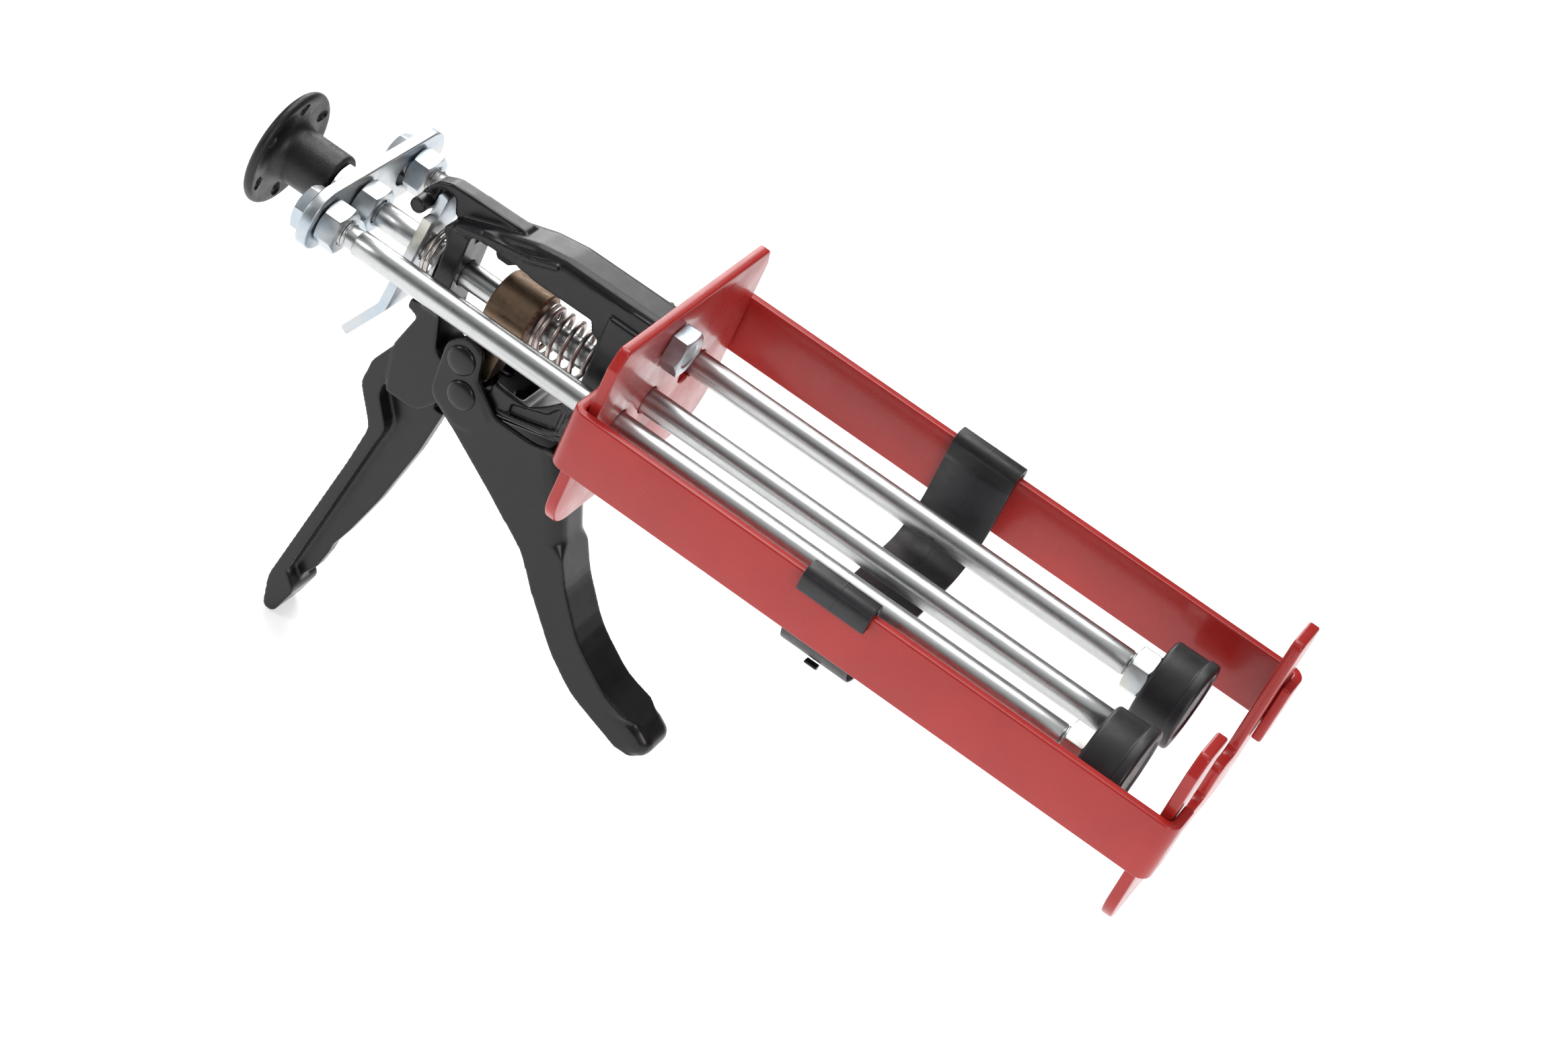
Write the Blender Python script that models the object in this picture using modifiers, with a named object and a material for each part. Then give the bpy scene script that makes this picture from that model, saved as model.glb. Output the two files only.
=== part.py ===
"""Two-component caulking gun: a hand gun that pushes two side-by-side cartridges.

Frame: +X runs forward along the drive rod, +Y to the gun's left, +Z up.
The origin is on the rear plate's front face, at rod height, midway between the rails.
Run with: blender --background --python part.py
"""
import math

import bmesh
import bpy
from mathutils import Matrix, Vector

MM = 0.001

# ---------------------------------------------------------------- driving sizes
GAP = 0.3 * MM                  # clearance between pieces that touch
FULL_TURN = 2 * math.pi

# rods and their fasteners
ROD_DIAMETER = 8 * MM
THREAD_DIAMETER = 7.4 * MM      # threads are plain and a little under the rod
ROD_HOLE_CLEARANCE = 1 * MM     # on the diameter, in the plates
RIGHT_ROD_Y = -17.4 * MM
LEFT_ROD_Y = 28.3 * MM
SPARE_HOLE_STEP = 5.3 * MM      # the left rod's second place, towards the drive rod
NUT_ACROSS_FLATS = 13 * MM
NUT_HEIGHT = 6.5 * MM
LOCK_NUT_HEIGHT = 4 * MM
STUB_LENGTH = 1.2 * MM            # thread standing out past a nut

# cradle: two plates and the strap bent round them
CRADLE_LENGTH = 185 * MM      # rear plate's front face to front plate's rear face
PLATE_THICKNESS = 3.5 * MM
PLATE_RIGHT_Y = -35.9 * MM
PLATE_LEFT_Y = 50.9 * MM
PLATE_TOP_Z = 33.4 * MM
PLATE_BOTTOM_Z = -32.8 * MM
PLATE_TOP_CHAMFER = 6 * MM
PLATE_BOTTOM_RADIUS = 13 * MM
STRAP_THICKNESS = 3 * MM
STRAP_TOP_Z = 13 * MM
STRAP_HEIGHT = 20 * MM
STRAP_SIDE_CLEARANCE = 1.5 * MM
STRAP_BEND_RADIUS = 4.5 * MM    # outside of the bend
TAB_LENGTH = 13 * MM            # strap ends folded over the front plate
SLOT_WIDTH = 53 * MM            # nozzle slot in the front plate
SLOT_SHOULDER_Z = -9 * MM
SLOT_NECK_WIDTH = 34 * MM
SLOT_BOTTOM_Z = -21 * MM

# pistons
PISTON_LENGTH = 14 * MM
PISTON_RIM_LENGTH = 3.5 * MM
PISTON_RIM_STEP = 0.5 * MM
RIGHT_PISTON_RADIUS = 16.8 * MM
LEFT_PISTON_RADIUS = 14 * MM
PISTON_FRONT_GAP = 12.8 * MM    # piston face to front plate with the rods as drawn
PISTON_BORE_DEPTH = 9 * MM

# saddle, a plastic sling clipped over the strap
SADDLE_START_X = 72 * MM
SADDLE_LENGTH = 22 * MM
SADDLE_THICKNESS = 1.6 * MM
SADDLE_ROLL_RADIUS = 4.2 * MM
SADDLE_LIP_LENGTH = 4.5 * MM
SADDLE_BOTTOM_Z = -21 * MM
SADDLE_CORNER_RADIUS = 17 * MM

# yoke and pull knob behind the frame
YOKE_FRONT_X = -102.5 * MM
YOKE_THICKNESS = 3.8 * MM
YOKE_END_RADIUS = 9.8 * MM
YOKE_LEFT_OVERHANG = 4.6 * MM   # the yoke's left end is centred past the left rod
KNOB_DISC_RADIUS = 18.5 * MM
KNOB_DISC_THICKNESS = 3.2 * MM
KNOB_HUB_RADIUS = 8.6 * MM
KNOB_LENGTH = 20.5 * MM
KNOB_FILLET = 4 * MM
KNOB_HOLE_RADIUS = 1.8 * MM
KNOB_HOLE_CIRCLE = 14.2 * MM
KNOB_HOLE_COUNT = 6

# cast frame
BEAM_HALF_WIDTH = 7.5 * MM
WALL_HALF_WIDTH = 9 * MM
FORK_HALF_WIDTH = 7.3 * MM
FORK_SLOT_HALF_WIDTH = 5.2 * MM
FLANGE_HALF_WIDTH = 7 * MM
WEB_HALF_WIDTH = 2.2 * MM
NOSE_HALF_WIDTH = 2.8 * MM
BEAM_ROUND = 3.2 * MM
CAST_EDGE = 0.8 * MM
REAR_WALL_X = (-70.5 * MM, -64.5 * MM)
FRONT_WALL_BACK_X = -17.5 * MM
ROD_BOSS_RADIUS = 9 * MM
BOLT_DIAMETER = 8 * MM
BOLT_LENGTH = 15 * MM
BOLT_HEAD_HEIGHT = 5.3 * MM
UPPER_BOLT_Z = 20.6 * MM
LOWER_BOLT_Z = -16.6 * MM

# trigger and drive
PIVOT = Vector((-48 * MM, 0, -29.3 * MM))
DRIVE_PIN = Vector((-52 * MM, 0, -19 * MM))
TRIGGER_HALF_WIDTH = 9.5 * MM
TRIGGER_WALL = 1.8 * MM
TRIGGER_GRIP_HALF_WIDTH = 7.75 * MM   # narrower where the fingers pull
TRIGGER_TAPER_X = (-26 * MM, 4 * MM)
TRIGGER_FRONT_WALL = 2.8 * MM
TRIGGER_ROUND = 4.6 * MM
PIN_RADIUS = 2.5 * MM
RIVET_HEAD_RADIUS = 4.8 * MM
RIVET_HEAD_HEIGHT = 1.7 * MM
DOG_BACK_X = -52 * MM
DOG_LENGTH = 14 * MM
DOG_RADIUS = 9.7 * MM
DOG_TAIL_HALF_WIDTH = 4.6 * MM
DOG_TAIL_BOTTOM_Z = -24.6 * MM
DOG_TAIL_DEPTH = 5.6 * MM
RETURN_SPRING_RADIUS = 7.4 * MM
RETURN_SPRING_WIRE = 1.5 * MM
RETURN_SPRING_TURNS = 5.5

# catch that holds the drive rod
CATCH_TOP = Vector((-77.7 * MM, 0, 20.4 * MM))
CATCH_TILT = math.radians(5)
CATCH_THICKNESS = 3 * MM
CATCH_HALF_WIDTH = 8 * MM
CATCH_TONGUE_HALF_WIDTH = 4.5 * MM
CATCH_TONGUE_LENGTH = 7.5 * MM
CATCH_LENGTH = 42 * MM
CATCH_TAB_LENGTH = 17 * MM
CATCH_TAB_ANGLE = math.radians(24)
CATCH_HOLE_CLEARANCE = 1.4 * MM
CATCH_SPRING_RADIUS = 7.2 * MM
CATCH_SPRING_WIRE = 1.2 * MM
CATCH_SPRING_TURNS = 2
CATCH_CUP_RADIUS = 8.6 * MM
CATCH_CUP_THICKNESS = 1.2 * MM

# ---------------------------------------------------------------- worked-out places
ROD_RADIUS = ROD_DIAMETER / 2
THREAD_RADIUS = THREAD_DIAMETER / 2
ROD_HOLE_RADIUS = (ROD_DIAMETER + ROD_HOLE_CLEARANCE) / 2
SPARE_HOLE_Y = LEFT_ROD_Y - SPARE_HOLE_STEP
STRAP_BOTTOM_Z = STRAP_TOP_Z - STRAP_HEIGHT
STRAP_RIGHT_Y = PLATE_RIGHT_Y - STRAP_SIDE_CLEARANCE - STRAP_THICKNESS
STRAP_LEFT_Y = PLATE_LEFT_Y + STRAP_SIDE_CLEARANCE + STRAP_THICKNESS
CRADLE_MIDDLE_Y = (STRAP_RIGHT_Y + STRAP_LEFT_Y) / 2
STRAP_BACK_X = -PLATE_THICKNESS - GAP - STRAP_THICKNESS
FRONT_PLATE_BACK_X = CRADLE_LENGTH
FRONT_PLATE_FRONT_X = CRADLE_LENGTH + PLATE_THICKNESS
STRAP_FRONT_X = FRONT_PLATE_FRONT_X + GAP + STRAP_THICKNESS
FRAME_FACE_X = STRAP_BACK_X - GAP             # front wall, behind the strap
FRAME_LAND_X = -PLATE_THICKNESS - GAP         # lands above and below the strap
PISTON_FRONT_X = FRONT_PLATE_BACK_X - PISTON_FRONT_GAP
PISTON_BACK_X = PISTON_FRONT_X - PISTON_LENGTH
PISTON_NUT_X = PISTON_BACK_X - GAP - NUT_HEIGHT
YOKE_BACK_X = YOKE_FRONT_X - YOKE_THICKNESS
FRONT_NUT_X = YOKE_FRONT_X + GAP
LOCK_NUT_X = YOKE_BACK_X - GAP - LOCK_NUT_HEIGHT
REAR_NUT_X = YOKE_BACK_X - GAP - LOCK_NUT_HEIGHT
ROD_REAR_X = REAR_NUT_X - STUB_LENGTH
SHOULDER_X = FRONT_NUT_X + NUT_HEIGHT + 4.5 * MM
KNOB_FRONT_X = LOCK_NUT_X - GAP
KNOB_BACK_X = KNOB_FRONT_X - KNOB_LENGTH
DRIVE_ROD_REAR_X = KNOB_BACK_X + 8 * MM
DRIVE_ROD_FRONT_X = PISTON_BACK_X - 2 * GAP

parts = bpy.data.collections.new("caulking_gun")
cutters = bpy.data.collections.new("cutters")


# ---------------------------------------------------------------- small tools
def clear_scene():
    for item in list(bpy.data.objects):
        bpy.data.objects.remove(item, do_unlink=True)
    bpy.context.scene.collection.children.link(parts)
    bpy.context.scene.collection.children.link(cutters)


def finish(name, color, roughness, metallic):
    """A Principled material with one colour, roughness and metallic value."""
    material = bpy.data.materials.new(name)
    material.use_nodes = True
    shader = material.node_tree.nodes["Principled BSDF"]
    shader.inputs["Base Color"].default_value = (*color, 1)
    shader.inputs["Roughness"].default_value = roughness
    shader.inputs["Metallic"].default_value = metallic
    return material


def place(name, mesh, material=None, matrix=None):
    """Put a mesh in the model, or among the cutters when it has no material."""
    item = bpy.data.objects.new(name, mesh)
    if matrix is not None:
        item.matrix_world = matrix
    if material is None:
        cutters.objects.link(item)
        item.hide_render = True
        item.display_type = "WIRE"
    else:
        mesh.materials.clear()
        mesh.materials.append(material)
        parts.objects.link(item)
    return item


def rounded(corners):
    """Closed outline from (u, v, radius) corners, each rounded by an arc."""
    outline = []
    count = len(corners)
    for index, (u, v, radius) in enumerate(corners):
        corner = Vector((u, v))
        before = Vector(corners[index - 1][:2]) - corner
        after = Vector(corners[(index + 1) % count][:2]) - corner
        turn = before.angle(after)
        if radius <= 0 or turn > math.radians(178):
            outline.append((u, v))
            continue
        reach = radius / math.tan(turn / 2)
        longest = 0.49 * min(before.length, after.length)
        if reach > longest:
            reach = longest
            radius = reach * math.tan(turn / 2)
        start = corner + before.normalized() * reach
        end = corner + after.normalized() * reach
        centre = corner + (before.normalized() + after.normalized()).normalized() * (
            radius / math.sin(turn / 2))
        first = math.atan2(start.y - centre.y, start.x - centre.x)
        sweep = math.atan2(end.y - centre.y, end.x - centre.x) - first
        sweep = (sweep + math.pi) % FULL_TURN - math.pi
        steps = max(2, round(abs(sweep) / math.radians(22.5)))
        for step in range(steps + 1):
            angle = first + sweep * step / steps
            outline.append((centre.x + radius * math.cos(angle), centre.y + radius * math.sin(angle)))
    return outline


def in_mm(corners):
    """Corners written in millimetres, as metres."""
    return [tuple(value * MM for value in corner) for corner in corners]


PLANES = {
    "YZ": Matrix(((0, 0, 1), (1, 0, 0), (0, 1, 0))),
    "XZ": Matrix(((1, 0, 0), (0, 0, -1), (0, 1, 0))),
    "XY": Matrix.Identity(3),
}


def as_mesh(item):
    """Turn a curve into a welded mesh object's data and remove the curve."""
    bpy.context.view_layer.update()
    evaluated = item.evaluated_get(bpy.context.evaluated_depsgraph_get())
    mesh = bpy.data.meshes.new_from_object(evaluated)
    matrix = item.matrix_world.copy()
    bpy.data.objects.remove(item, do_unlink=True)
    shape = bmesh.new()
    shape.from_mesh(mesh)
    bmesh.ops.remove_doubles(shape, verts=shape.verts, dist=1e-6)
    shape.to_mesh(mesh)
    shape.free()
    return mesh, matrix


def slab(name, outlines, plane, low, high, material=None, edge=0):
    """Extrude flat outlines, holes included, from low to high along the plane's normal."""
    curve = bpy.data.curves.new(name, "CURVE")
    curve.dimensions = "2D"
    curve.fill_mode = "BOTH"
    curve.extrude = (high - low) / 2
    for outline in outlines:
        spline = curve.splines.new("POLY")
        spline.points.add(len(outline) - 1)
        for point, (u, v) in zip(spline.points, outline):
            point.co = (u, v, 0, 1)
        spline.use_cyclic_u = True
    item = bpy.data.objects.new(name + "_outline", curve)
    turn = PLANES[plane]
    item.matrix_world = Matrix.Translation(turn @ Vector((0, 0, (high + low) / 2))) @ turn.to_4x4()
    cutters.objects.link(item)
    mesh, matrix = as_mesh(item)
    mesh.name = name
    solid = place(name, mesh, material, matrix)
    if edge > 0:
        bevel = solid.modifiers.new("edges", "BEVEL")
        bevel.width = edge
        bevel.segments = 1
        bevel.limit_method = "ANGLE"
        bevel.angle_limit = math.radians(50)
    return solid


def along(axis, start):
    """Matrix that sends +Z to an axis letter and the origin to a start point."""
    turns = {"X": Matrix.Rotation(math.pi / 2, 4, "Y"), "Y": Matrix.Rotation(-math.pi / 2, 4, "X"),
             "Z": Matrix.Identity(4)}
    return Matrix.Translation(start) @ turns[axis]


def turned(name, profile, matrix, material=None, steps=32):
    """Revolve a closed (radius, height) profile that runs down its outer side."""
    shape = bmesh.new()
    corners = [shape.verts.new((radius, 0, height)) for radius, height in profile]
    for first, second in zip(corners, corners[1:]):
        shape.edges.new((first, second))
    if profile[0][0] > 0 or profile[-1][0] > 0:
        shape.edges.new((corners[-1], corners[0]))
    mesh = bpy.data.meshes.new(name)
    shape.to_mesh(mesh)
    shape.free()
    guide = bpy.data.objects.new(name + "_profile", mesh)
    cutters.objects.link(guide)
    screw = guide.modifiers.new("turn", "SCREW")
    screw.steps = steps
    screw.render_steps = steps
    screw.use_merge_vertices = True
    screw.merge_threshold = 1e-6
    solid_mesh, _ = as_mesh(guide)
    solid_mesh.name = name
    solid_mesh.shade_smooth()
    solid_mesh.set_sharp_from_angle(angle=math.radians(35))
    return place(name, solid_mesh, material, matrix)


def rod(name, axis, start, length, radius, material=None, steps=24):
    """Plain cylinder from a start point along an axis letter."""
    return turned(name, [(0, length), (radius, length), (radius, 0), (0, 0)],
                  along(axis, start), material, steps)


def box(name, low, high, material=None):
    """Box between two opposite corners."""
    low, high = Vector(low), Vector(high)
    shape = bmesh.new()
    bmesh.ops.create_cube(shape, size=1)
    bmesh.ops.scale(shape, vec=high - low, verts=shape.verts)
    bmesh.ops.translate(shape, vec=(low + high) / 2, verts=shape.verts)
    mesh = bpy.data.meshes.new(name)
    shape.to_mesh(mesh)
    shape.free()
    return place(name, mesh, material)


def combine(target, other, operation):
    """Add an exact Boolean of another solid to the target."""
    modifier = target.modifiers.new(other.name, "BOOLEAN")
    modifier.operation = operation
    modifier.object = other
    modifier.solver = "EXACT"


def cut(target, *others):
    for other in others:
        combine(target, other, "DIFFERENCE")


def join(target, *others):
    for other in others:
        combine(target, other, "UNION")


def settle(item):
    """Apply an object's modifiers, so the result can be cut or joined again."""
    bpy.context.view_layer.update()
    evaluated = item.evaluated_get(bpy.context.evaluated_depsgraph_get())
    mesh = bpy.data.meshes.new_from_object(evaluated)
    item.modifiers.clear()
    item.data = mesh


def soften(item, half_width, width, wanted):
    """Round the side edges of an upright slab wherever both ends are wanted."""
    shape = bmesh.new()
    shape.from_mesh(item.data)
    bpy.context.view_layer.update()
    chosen = []
    for edge in shape.edges:
        ends = [item.matrix_world @ vertex.co for vertex in edge.verts]
        on_side = all(abs(abs(end.y) - half_width) < 1e-6 for end in ends)
        same_side = abs(ends[0].y - ends[1].y) < 1e-6
        outer = len(edge.link_faces) == 2 and edge.calc_face_angle(0) > math.radians(60)
        if on_side and same_side and outer and all(wanted(end) for end in ends):
            chosen.append(edge)
    bmesh.ops.bevel(shape, geom=chosen, offset=width, segments=3, profile=0.5, affect="EDGES")
    bmesh.ops.remove_doubles(shape, verts=shape.verts, dist=1e-6)
    shape.to_mesh(item.data)
    shape.free()


def centre_on_cradle():
    """Move the model sideways so the origin lies midway between the rails."""
    bpy.context.view_layer.update()
    shift = Matrix.Translation((0, -CRADLE_MIDDLE_Y, 0))
    for item in list(parts.objects) + list(cutters.objects):
        item.matrix_world = shift @ item.matrix_world


# ---------------------------------------------------------------- finishes
def make_finishes():
    return {
        "red": finish("red_powder_coat", (0.45, 0.03, 0.03), 0.35, 0),
        "cast": finish("black_paint", (0.02, 0.02, 0.023), 0.42, 0),
        "plastic": finish("black_plastic", (0.018, 0.018, 0.02), 0.5, 0),
        "zinc": finish("zinc_plate", (0.72, 0.74, 0.76), 0.3, 1),
        "rod": finish("bright_rod", (0.7, 0.71, 0.72), 0.22, 1),
        "bronze": finish("sintered_bronze", (0.3, 0.19, 0.1), 0.5, 1),
        "spring": finish("spring_steel", (0.42, 0.38, 0.36), 0.3, 1),
    }


# ---------------------------------------------------------------- cradle
def plate_outline():
    """Outline shared by both plates, in Y and Z."""
    chamfer = PLATE_TOP_CHAMFER
    round_edge = 2 * MM
    return rounded([
        (PLATE_RIGHT_Y, PLATE_BOTTOM_Z, PLATE_BOTTOM_RADIUS),
        (PLATE_LEFT_Y, PLATE_BOTTOM_Z, PLATE_BOTTOM_RADIUS),
        (PLATE_LEFT_Y, PLATE_TOP_Z - chamfer, round_edge),
        (PLATE_LEFT_Y - chamfer / 2, PLATE_TOP_Z, round_edge),
        (PLATE_RIGHT_Y + chamfer / 2, PLATE_TOP_Z, round_edge),
        (PLATE_RIGHT_Y, PLATE_TOP_Z - chamfer, round_edge),
    ])


def rod_hole_cutter(name, low, high, y):
    return rod(name, "X", (low, y, 0), high - low, ROD_HOLE_RADIUS)


def make_rear_plate(looks):
    plate = slab("rear_plate", [plate_outline()], "YZ", -PLATE_THICKNESS, 0, looks["red"])
    low, high = -PLATE_THICKNESS - 1 * MM, 1 * MM
    for name, y in (("drive", 0), ("right", RIGHT_ROD_Y), ("left", LEFT_ROD_Y), ("spare", SPARE_HOLE_Y)):
        cut(plate, rod_hole_cutter(f"rear_plate_{name}_hole", low, high, y))
    for name, z in (("upper", UPPER_BOLT_Z), ("lower", LOWER_BOLT_Z)):
        cut(plate, rod(f"rear_plate_{name}_bolt_hole", "X", (low, 0, z), high - low, BOLT_DIAMETER / 2 + GAP))
    return plate


def make_front_plate(looks):
    plate = slab("front_plate", [plate_outline()], "YZ", FRONT_PLATE_BACK_X, FRONT_PLATE_FRONT_X, looks["red"])
    half, neck = SLOT_WIDTH / 2, SLOT_NECK_WIDTH / 2
    middle = (PLATE_RIGHT_Y + PLATE_LEFT_Y) / 2
    above = PLATE_TOP_Z + 5 * MM
    slot = rounded([
        (middle - half, above, 0), (middle - half, SLOT_SHOULDER_Z, 3 * MM),
        (middle - neck, SLOT_SHOULDER_Z, 2 * MM), (middle - neck, SLOT_BOTTOM_Z, 3 * MM),
        (middle + neck, SLOT_BOTTOM_Z, 3 * MM), (middle + neck, SLOT_SHOULDER_Z, 2 * MM),
        (middle + half, SLOT_SHOULDER_Z, 3 * MM), (middle + half, above, 0),
    ])
    cut(plate, slab("nozzle_slot", [slot], "YZ", FRONT_PLATE_BACK_X - 1 * MM, FRONT_PLATE_FRONT_X + 1 * MM))
    return plate


def make_strap(looks):
    """One flat strip bent round the cradle, its ends folded over the front plate."""
    outer, inner = STRAP_BEND_RADIUS, STRAP_BEND_RADIUS - STRAP_THICKNESS
    wall = STRAP_THICKNESS
    right, left, back, front = STRAP_RIGHT_Y, STRAP_LEFT_Y, STRAP_BACK_X, STRAP_FRONT_X
    outline = rounded([
        (front, right, outer), (front, right + TAB_LENGTH, 0.8 * MM),
        (front - wall, right + TAB_LENGTH, 0.4 * MM), (front - wall, right + wall, inner),
        (back + wall, right + wall, inner), (back + wall, left - wall, inner),
        (front - wall, left - wall, inner), (front - wall, left - TAB_LENGTH, 0.4 * MM),
        (front, left - TAB_LENGTH, 0.8 * MM), (front, left, outer),
        (back, left, outer), (back, right, outer),
    ])
    strap = slab("cradle_strap", [outline], "XY", STRAP_BOTTOM_Z, STRAP_TOP_Z, looks["red"])
    for name, y in (("drive", 0), ("right", RIGHT_ROD_Y), ("left", LEFT_ROD_Y), ("spare", SPARE_HOLE_Y)):
        cut(strap, rod_hole_cutter(f"strap_{name}_hole", back - 1 * MM, back + wall + 1 * MM, y))
    return strap


def make_saddle(looks):
    """Plastic sling across the cradle, hooked over both rails of the strap."""
    wall, roll, corner = SADDLE_THICKNESS, SADDLE_ROLL_RADIUS, SADDLE_CORNER_RADIUS
    half_rail = STRAP_THICKNESS / 2
    hug = half_rail + GAP
    rail = CRADLE_MIDDLE_Y - STRAP_RIGHT_Y - half_rail     # middle of a rail from the cradle's middle
    lip = STRAP_TOP_Z - SADDLE_LIP_LENGTH
    hook = [  # from the sling's inside up over one rail, in distance from the middle and Z
        (rail - hug - wall, SADDLE_BOTTOM_Z + wall, corner),
        (rail - hug - wall, lip - 1.5 * MM, 1 * MM), (rail - roll, lip + 0.5 * MM, 1 * MM),
        (rail - roll, STRAP_TOP_Z + roll - 1 * MM, roll), (rail + roll, STRAP_TOP_Z + roll - 1 * MM, roll),
        (rail + roll, lip, 0.8 * MM), (rail + hug, lip, 0.4 * MM),
        (rail + hug, STRAP_TOP_Z + hug, hug), (rail - hug, STRAP_TOP_Z + hug, hug),
        (rail - hug, SADDLE_BOTTOM_Z, corner + wall),
    ]
    left = [(CRADLE_MIDDLE_Y + distance, z, radius) for distance, z, radius in hook]
    right = [(CRADLE_MIDDLE_Y - distance, z, radius) for distance, z, radius in reversed(hook)]
    saddle = slab("cartridge_saddle", [rounded(left + right)], "YZ", SADDLE_START_X,
                  SADDLE_START_X + SADDLE_LENGTH, looks["plastic"])
    return saddle


# ---------------------------------------------------------------- fasteners
def hexagon(name, across_flats, height, matrix, material=None):
    """Hexagonal prism with its corners chamfered at both ends."""
    corner = across_flats / math.sqrt(3)
    shape = bmesh.new()
    bmesh.ops.create_cone(shape, cap_ends=True, segments=6, radius1=corner, radius2=corner, depth=height)
    bmesh.ops.translate(shape, vec=(0, 0, height / 2), verts=shape.verts)
    mesh = bpy.data.meshes.new(name)
    shape.to_mesh(mesh)
    shape.free()
    prism = place(name, mesh, material, matrix)
    flat, drop = across_flats / 2, (corner - across_flats / 2) * 0.6
    barrel = turned(name + "_chamfer", [(0, height), (flat, height), (corner, height - drop),
                                        (corner, drop), (flat, 0), (0, 0)], matrix, steps=24)
    combine(prism, barrel, "INTERSECT")
    return prism


def make_nut(looks, name, x, y, height, turn=0):
    """Nut on a rod, its bore a clearance over the thread."""
    matrix = along("X", (x, y, 0)) @ Matrix.Rotation(math.radians(turn), 4, "Z")
    nut = hexagon(name, NUT_ACROSS_FLATS, height, matrix, looks["zinc"])
    cut(nut, rod(name + "_bore", "X", (x - 1 * MM, y, 0), height + 2 * MM, THREAD_RADIUS + GAP, steps=24))
    return nut


def make_washer(looks, name, x, y, radius, thickness, bore):
    edge = 0.4 * MM
    profile = [(bore, thickness), (radius - edge, thickness), (radius, thickness - edge),
               (radius, edge), (radius - edge, 0), (bore, 0)]
    return turned(name, profile, along("X", (x, y, 0)), looks["zinc"], steps=24)


def make_bolt(looks, name, z):
    """Hex-head bolt through the rear plate into the frame."""
    head = hexagon(name, NUT_ACROSS_FLATS, BOLT_HEAD_HEIGHT, along("X", (GAP, 0, z)), looks["zinc"])
    join(head, rod(name + "_shank", "X", (GAP + 1 * MM - BOLT_LENGTH, 0, z), BOLT_LENGTH, BOLT_DIAMETER / 2,
                   steps=24))
    return head


# ---------------------------------------------------------------- sliding rods
def make_rod(looks, name, y, rear, shoulder, front_shoulder, front):
    """Rod with a reduced thread at its rear and, given a front shoulder, at its front too."""
    chamfer = 0.7 * MM
    if front_shoulder is None:
        nose = [(0, front), (ROD_RADIUS - chamfer, front), (ROD_RADIUS, front - chamfer)]
    else:
        nose = [(0, front), (THREAD_RADIUS - chamfer, front), (THREAD_RADIUS, front - chamfer),
                (THREAD_RADIUS, front_shoulder), (ROD_RADIUS - GAP, front_shoulder),
                (ROD_RADIUS, front_shoulder - GAP)]
    tail = [(ROD_RADIUS, shoulder + GAP), (ROD_RADIUS - GAP, shoulder), (THREAD_RADIUS, shoulder),
            (THREAD_RADIUS, rear + chamfer), (THREAD_RADIUS - chamfer, rear), (0, rear)]
    return turned(name, nose + tail, along("X", (0, y, 0)), looks["rod"], steps=24)


def make_rods(looks):
    side_front = PISTON_BACK_X + PISTON_BORE_DEPTH - GAP
    front_shoulder = PISTON_NUT_X - 1 * MM
    make_rod(looks, "right_rod", RIGHT_ROD_Y, ROD_REAR_X, SHOULDER_X, front_shoulder, side_front)
    make_rod(looks, "left_rod", LEFT_ROD_Y, ROD_REAR_X, SHOULDER_X, front_shoulder, side_front)
    make_rod(looks, "drive_rod", 0, DRIVE_ROD_REAR_X, SHOULDER_X - 4 * MM, None, DRIVE_ROD_FRONT_X)
    for side, y in (("right", RIGHT_ROD_Y), ("left", LEFT_ROD_Y)):
        make_nut(looks, f"{side}_rod_front_nut", FRONT_NUT_X, y, NUT_HEIGHT, 12)
        make_nut(looks, f"{side}_rod_rear_nut", REAR_NUT_X, y, LOCK_NUT_HEIGHT, 40)
        make_nut(looks, f"{side}_piston_nut", PISTON_NUT_X, y, NUT_HEIGHT, 20)
    make_nut(looks, "drive_rod_front_nut", FRONT_NUT_X, 0, NUT_HEIGHT, 5)
    make_nut(looks, "drive_rod_lock_nut", LOCK_NUT_X, 0, LOCK_NUT_HEIGHT, 25)


def make_yoke(looks):
    """Flat bar that ties the three rods together."""
    left_end = LEFT_ROD_Y + YOKE_LEFT_OVERHANG
    radius = YOKE_END_RADIUS
    outline = rounded([
        (RIGHT_ROD_Y - radius, -radius, radius), (left_end + radius, -radius, radius),
        (left_end + radius, radius, radius), (RIGHT_ROD_Y - radius, radius, radius),
    ])
    yoke = slab("yoke_plate", [outline], "YZ", YOKE_BACK_X, YOKE_FRONT_X, looks["zinc"])
    low, high = YOKE_BACK_X - 1 * MM, YOKE_FRONT_X + 1 * MM
    for name, y in (("drive", 0), ("right", RIGHT_ROD_Y), ("left", LEFT_ROD_Y), ("spare", SPARE_HOLE_Y)):
        cut(yoke, rod(f"yoke_{name}_hole", "X", (low, y, 0), high - low, THREAD_RADIUS + 2 * GAP))
    return yoke


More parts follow.
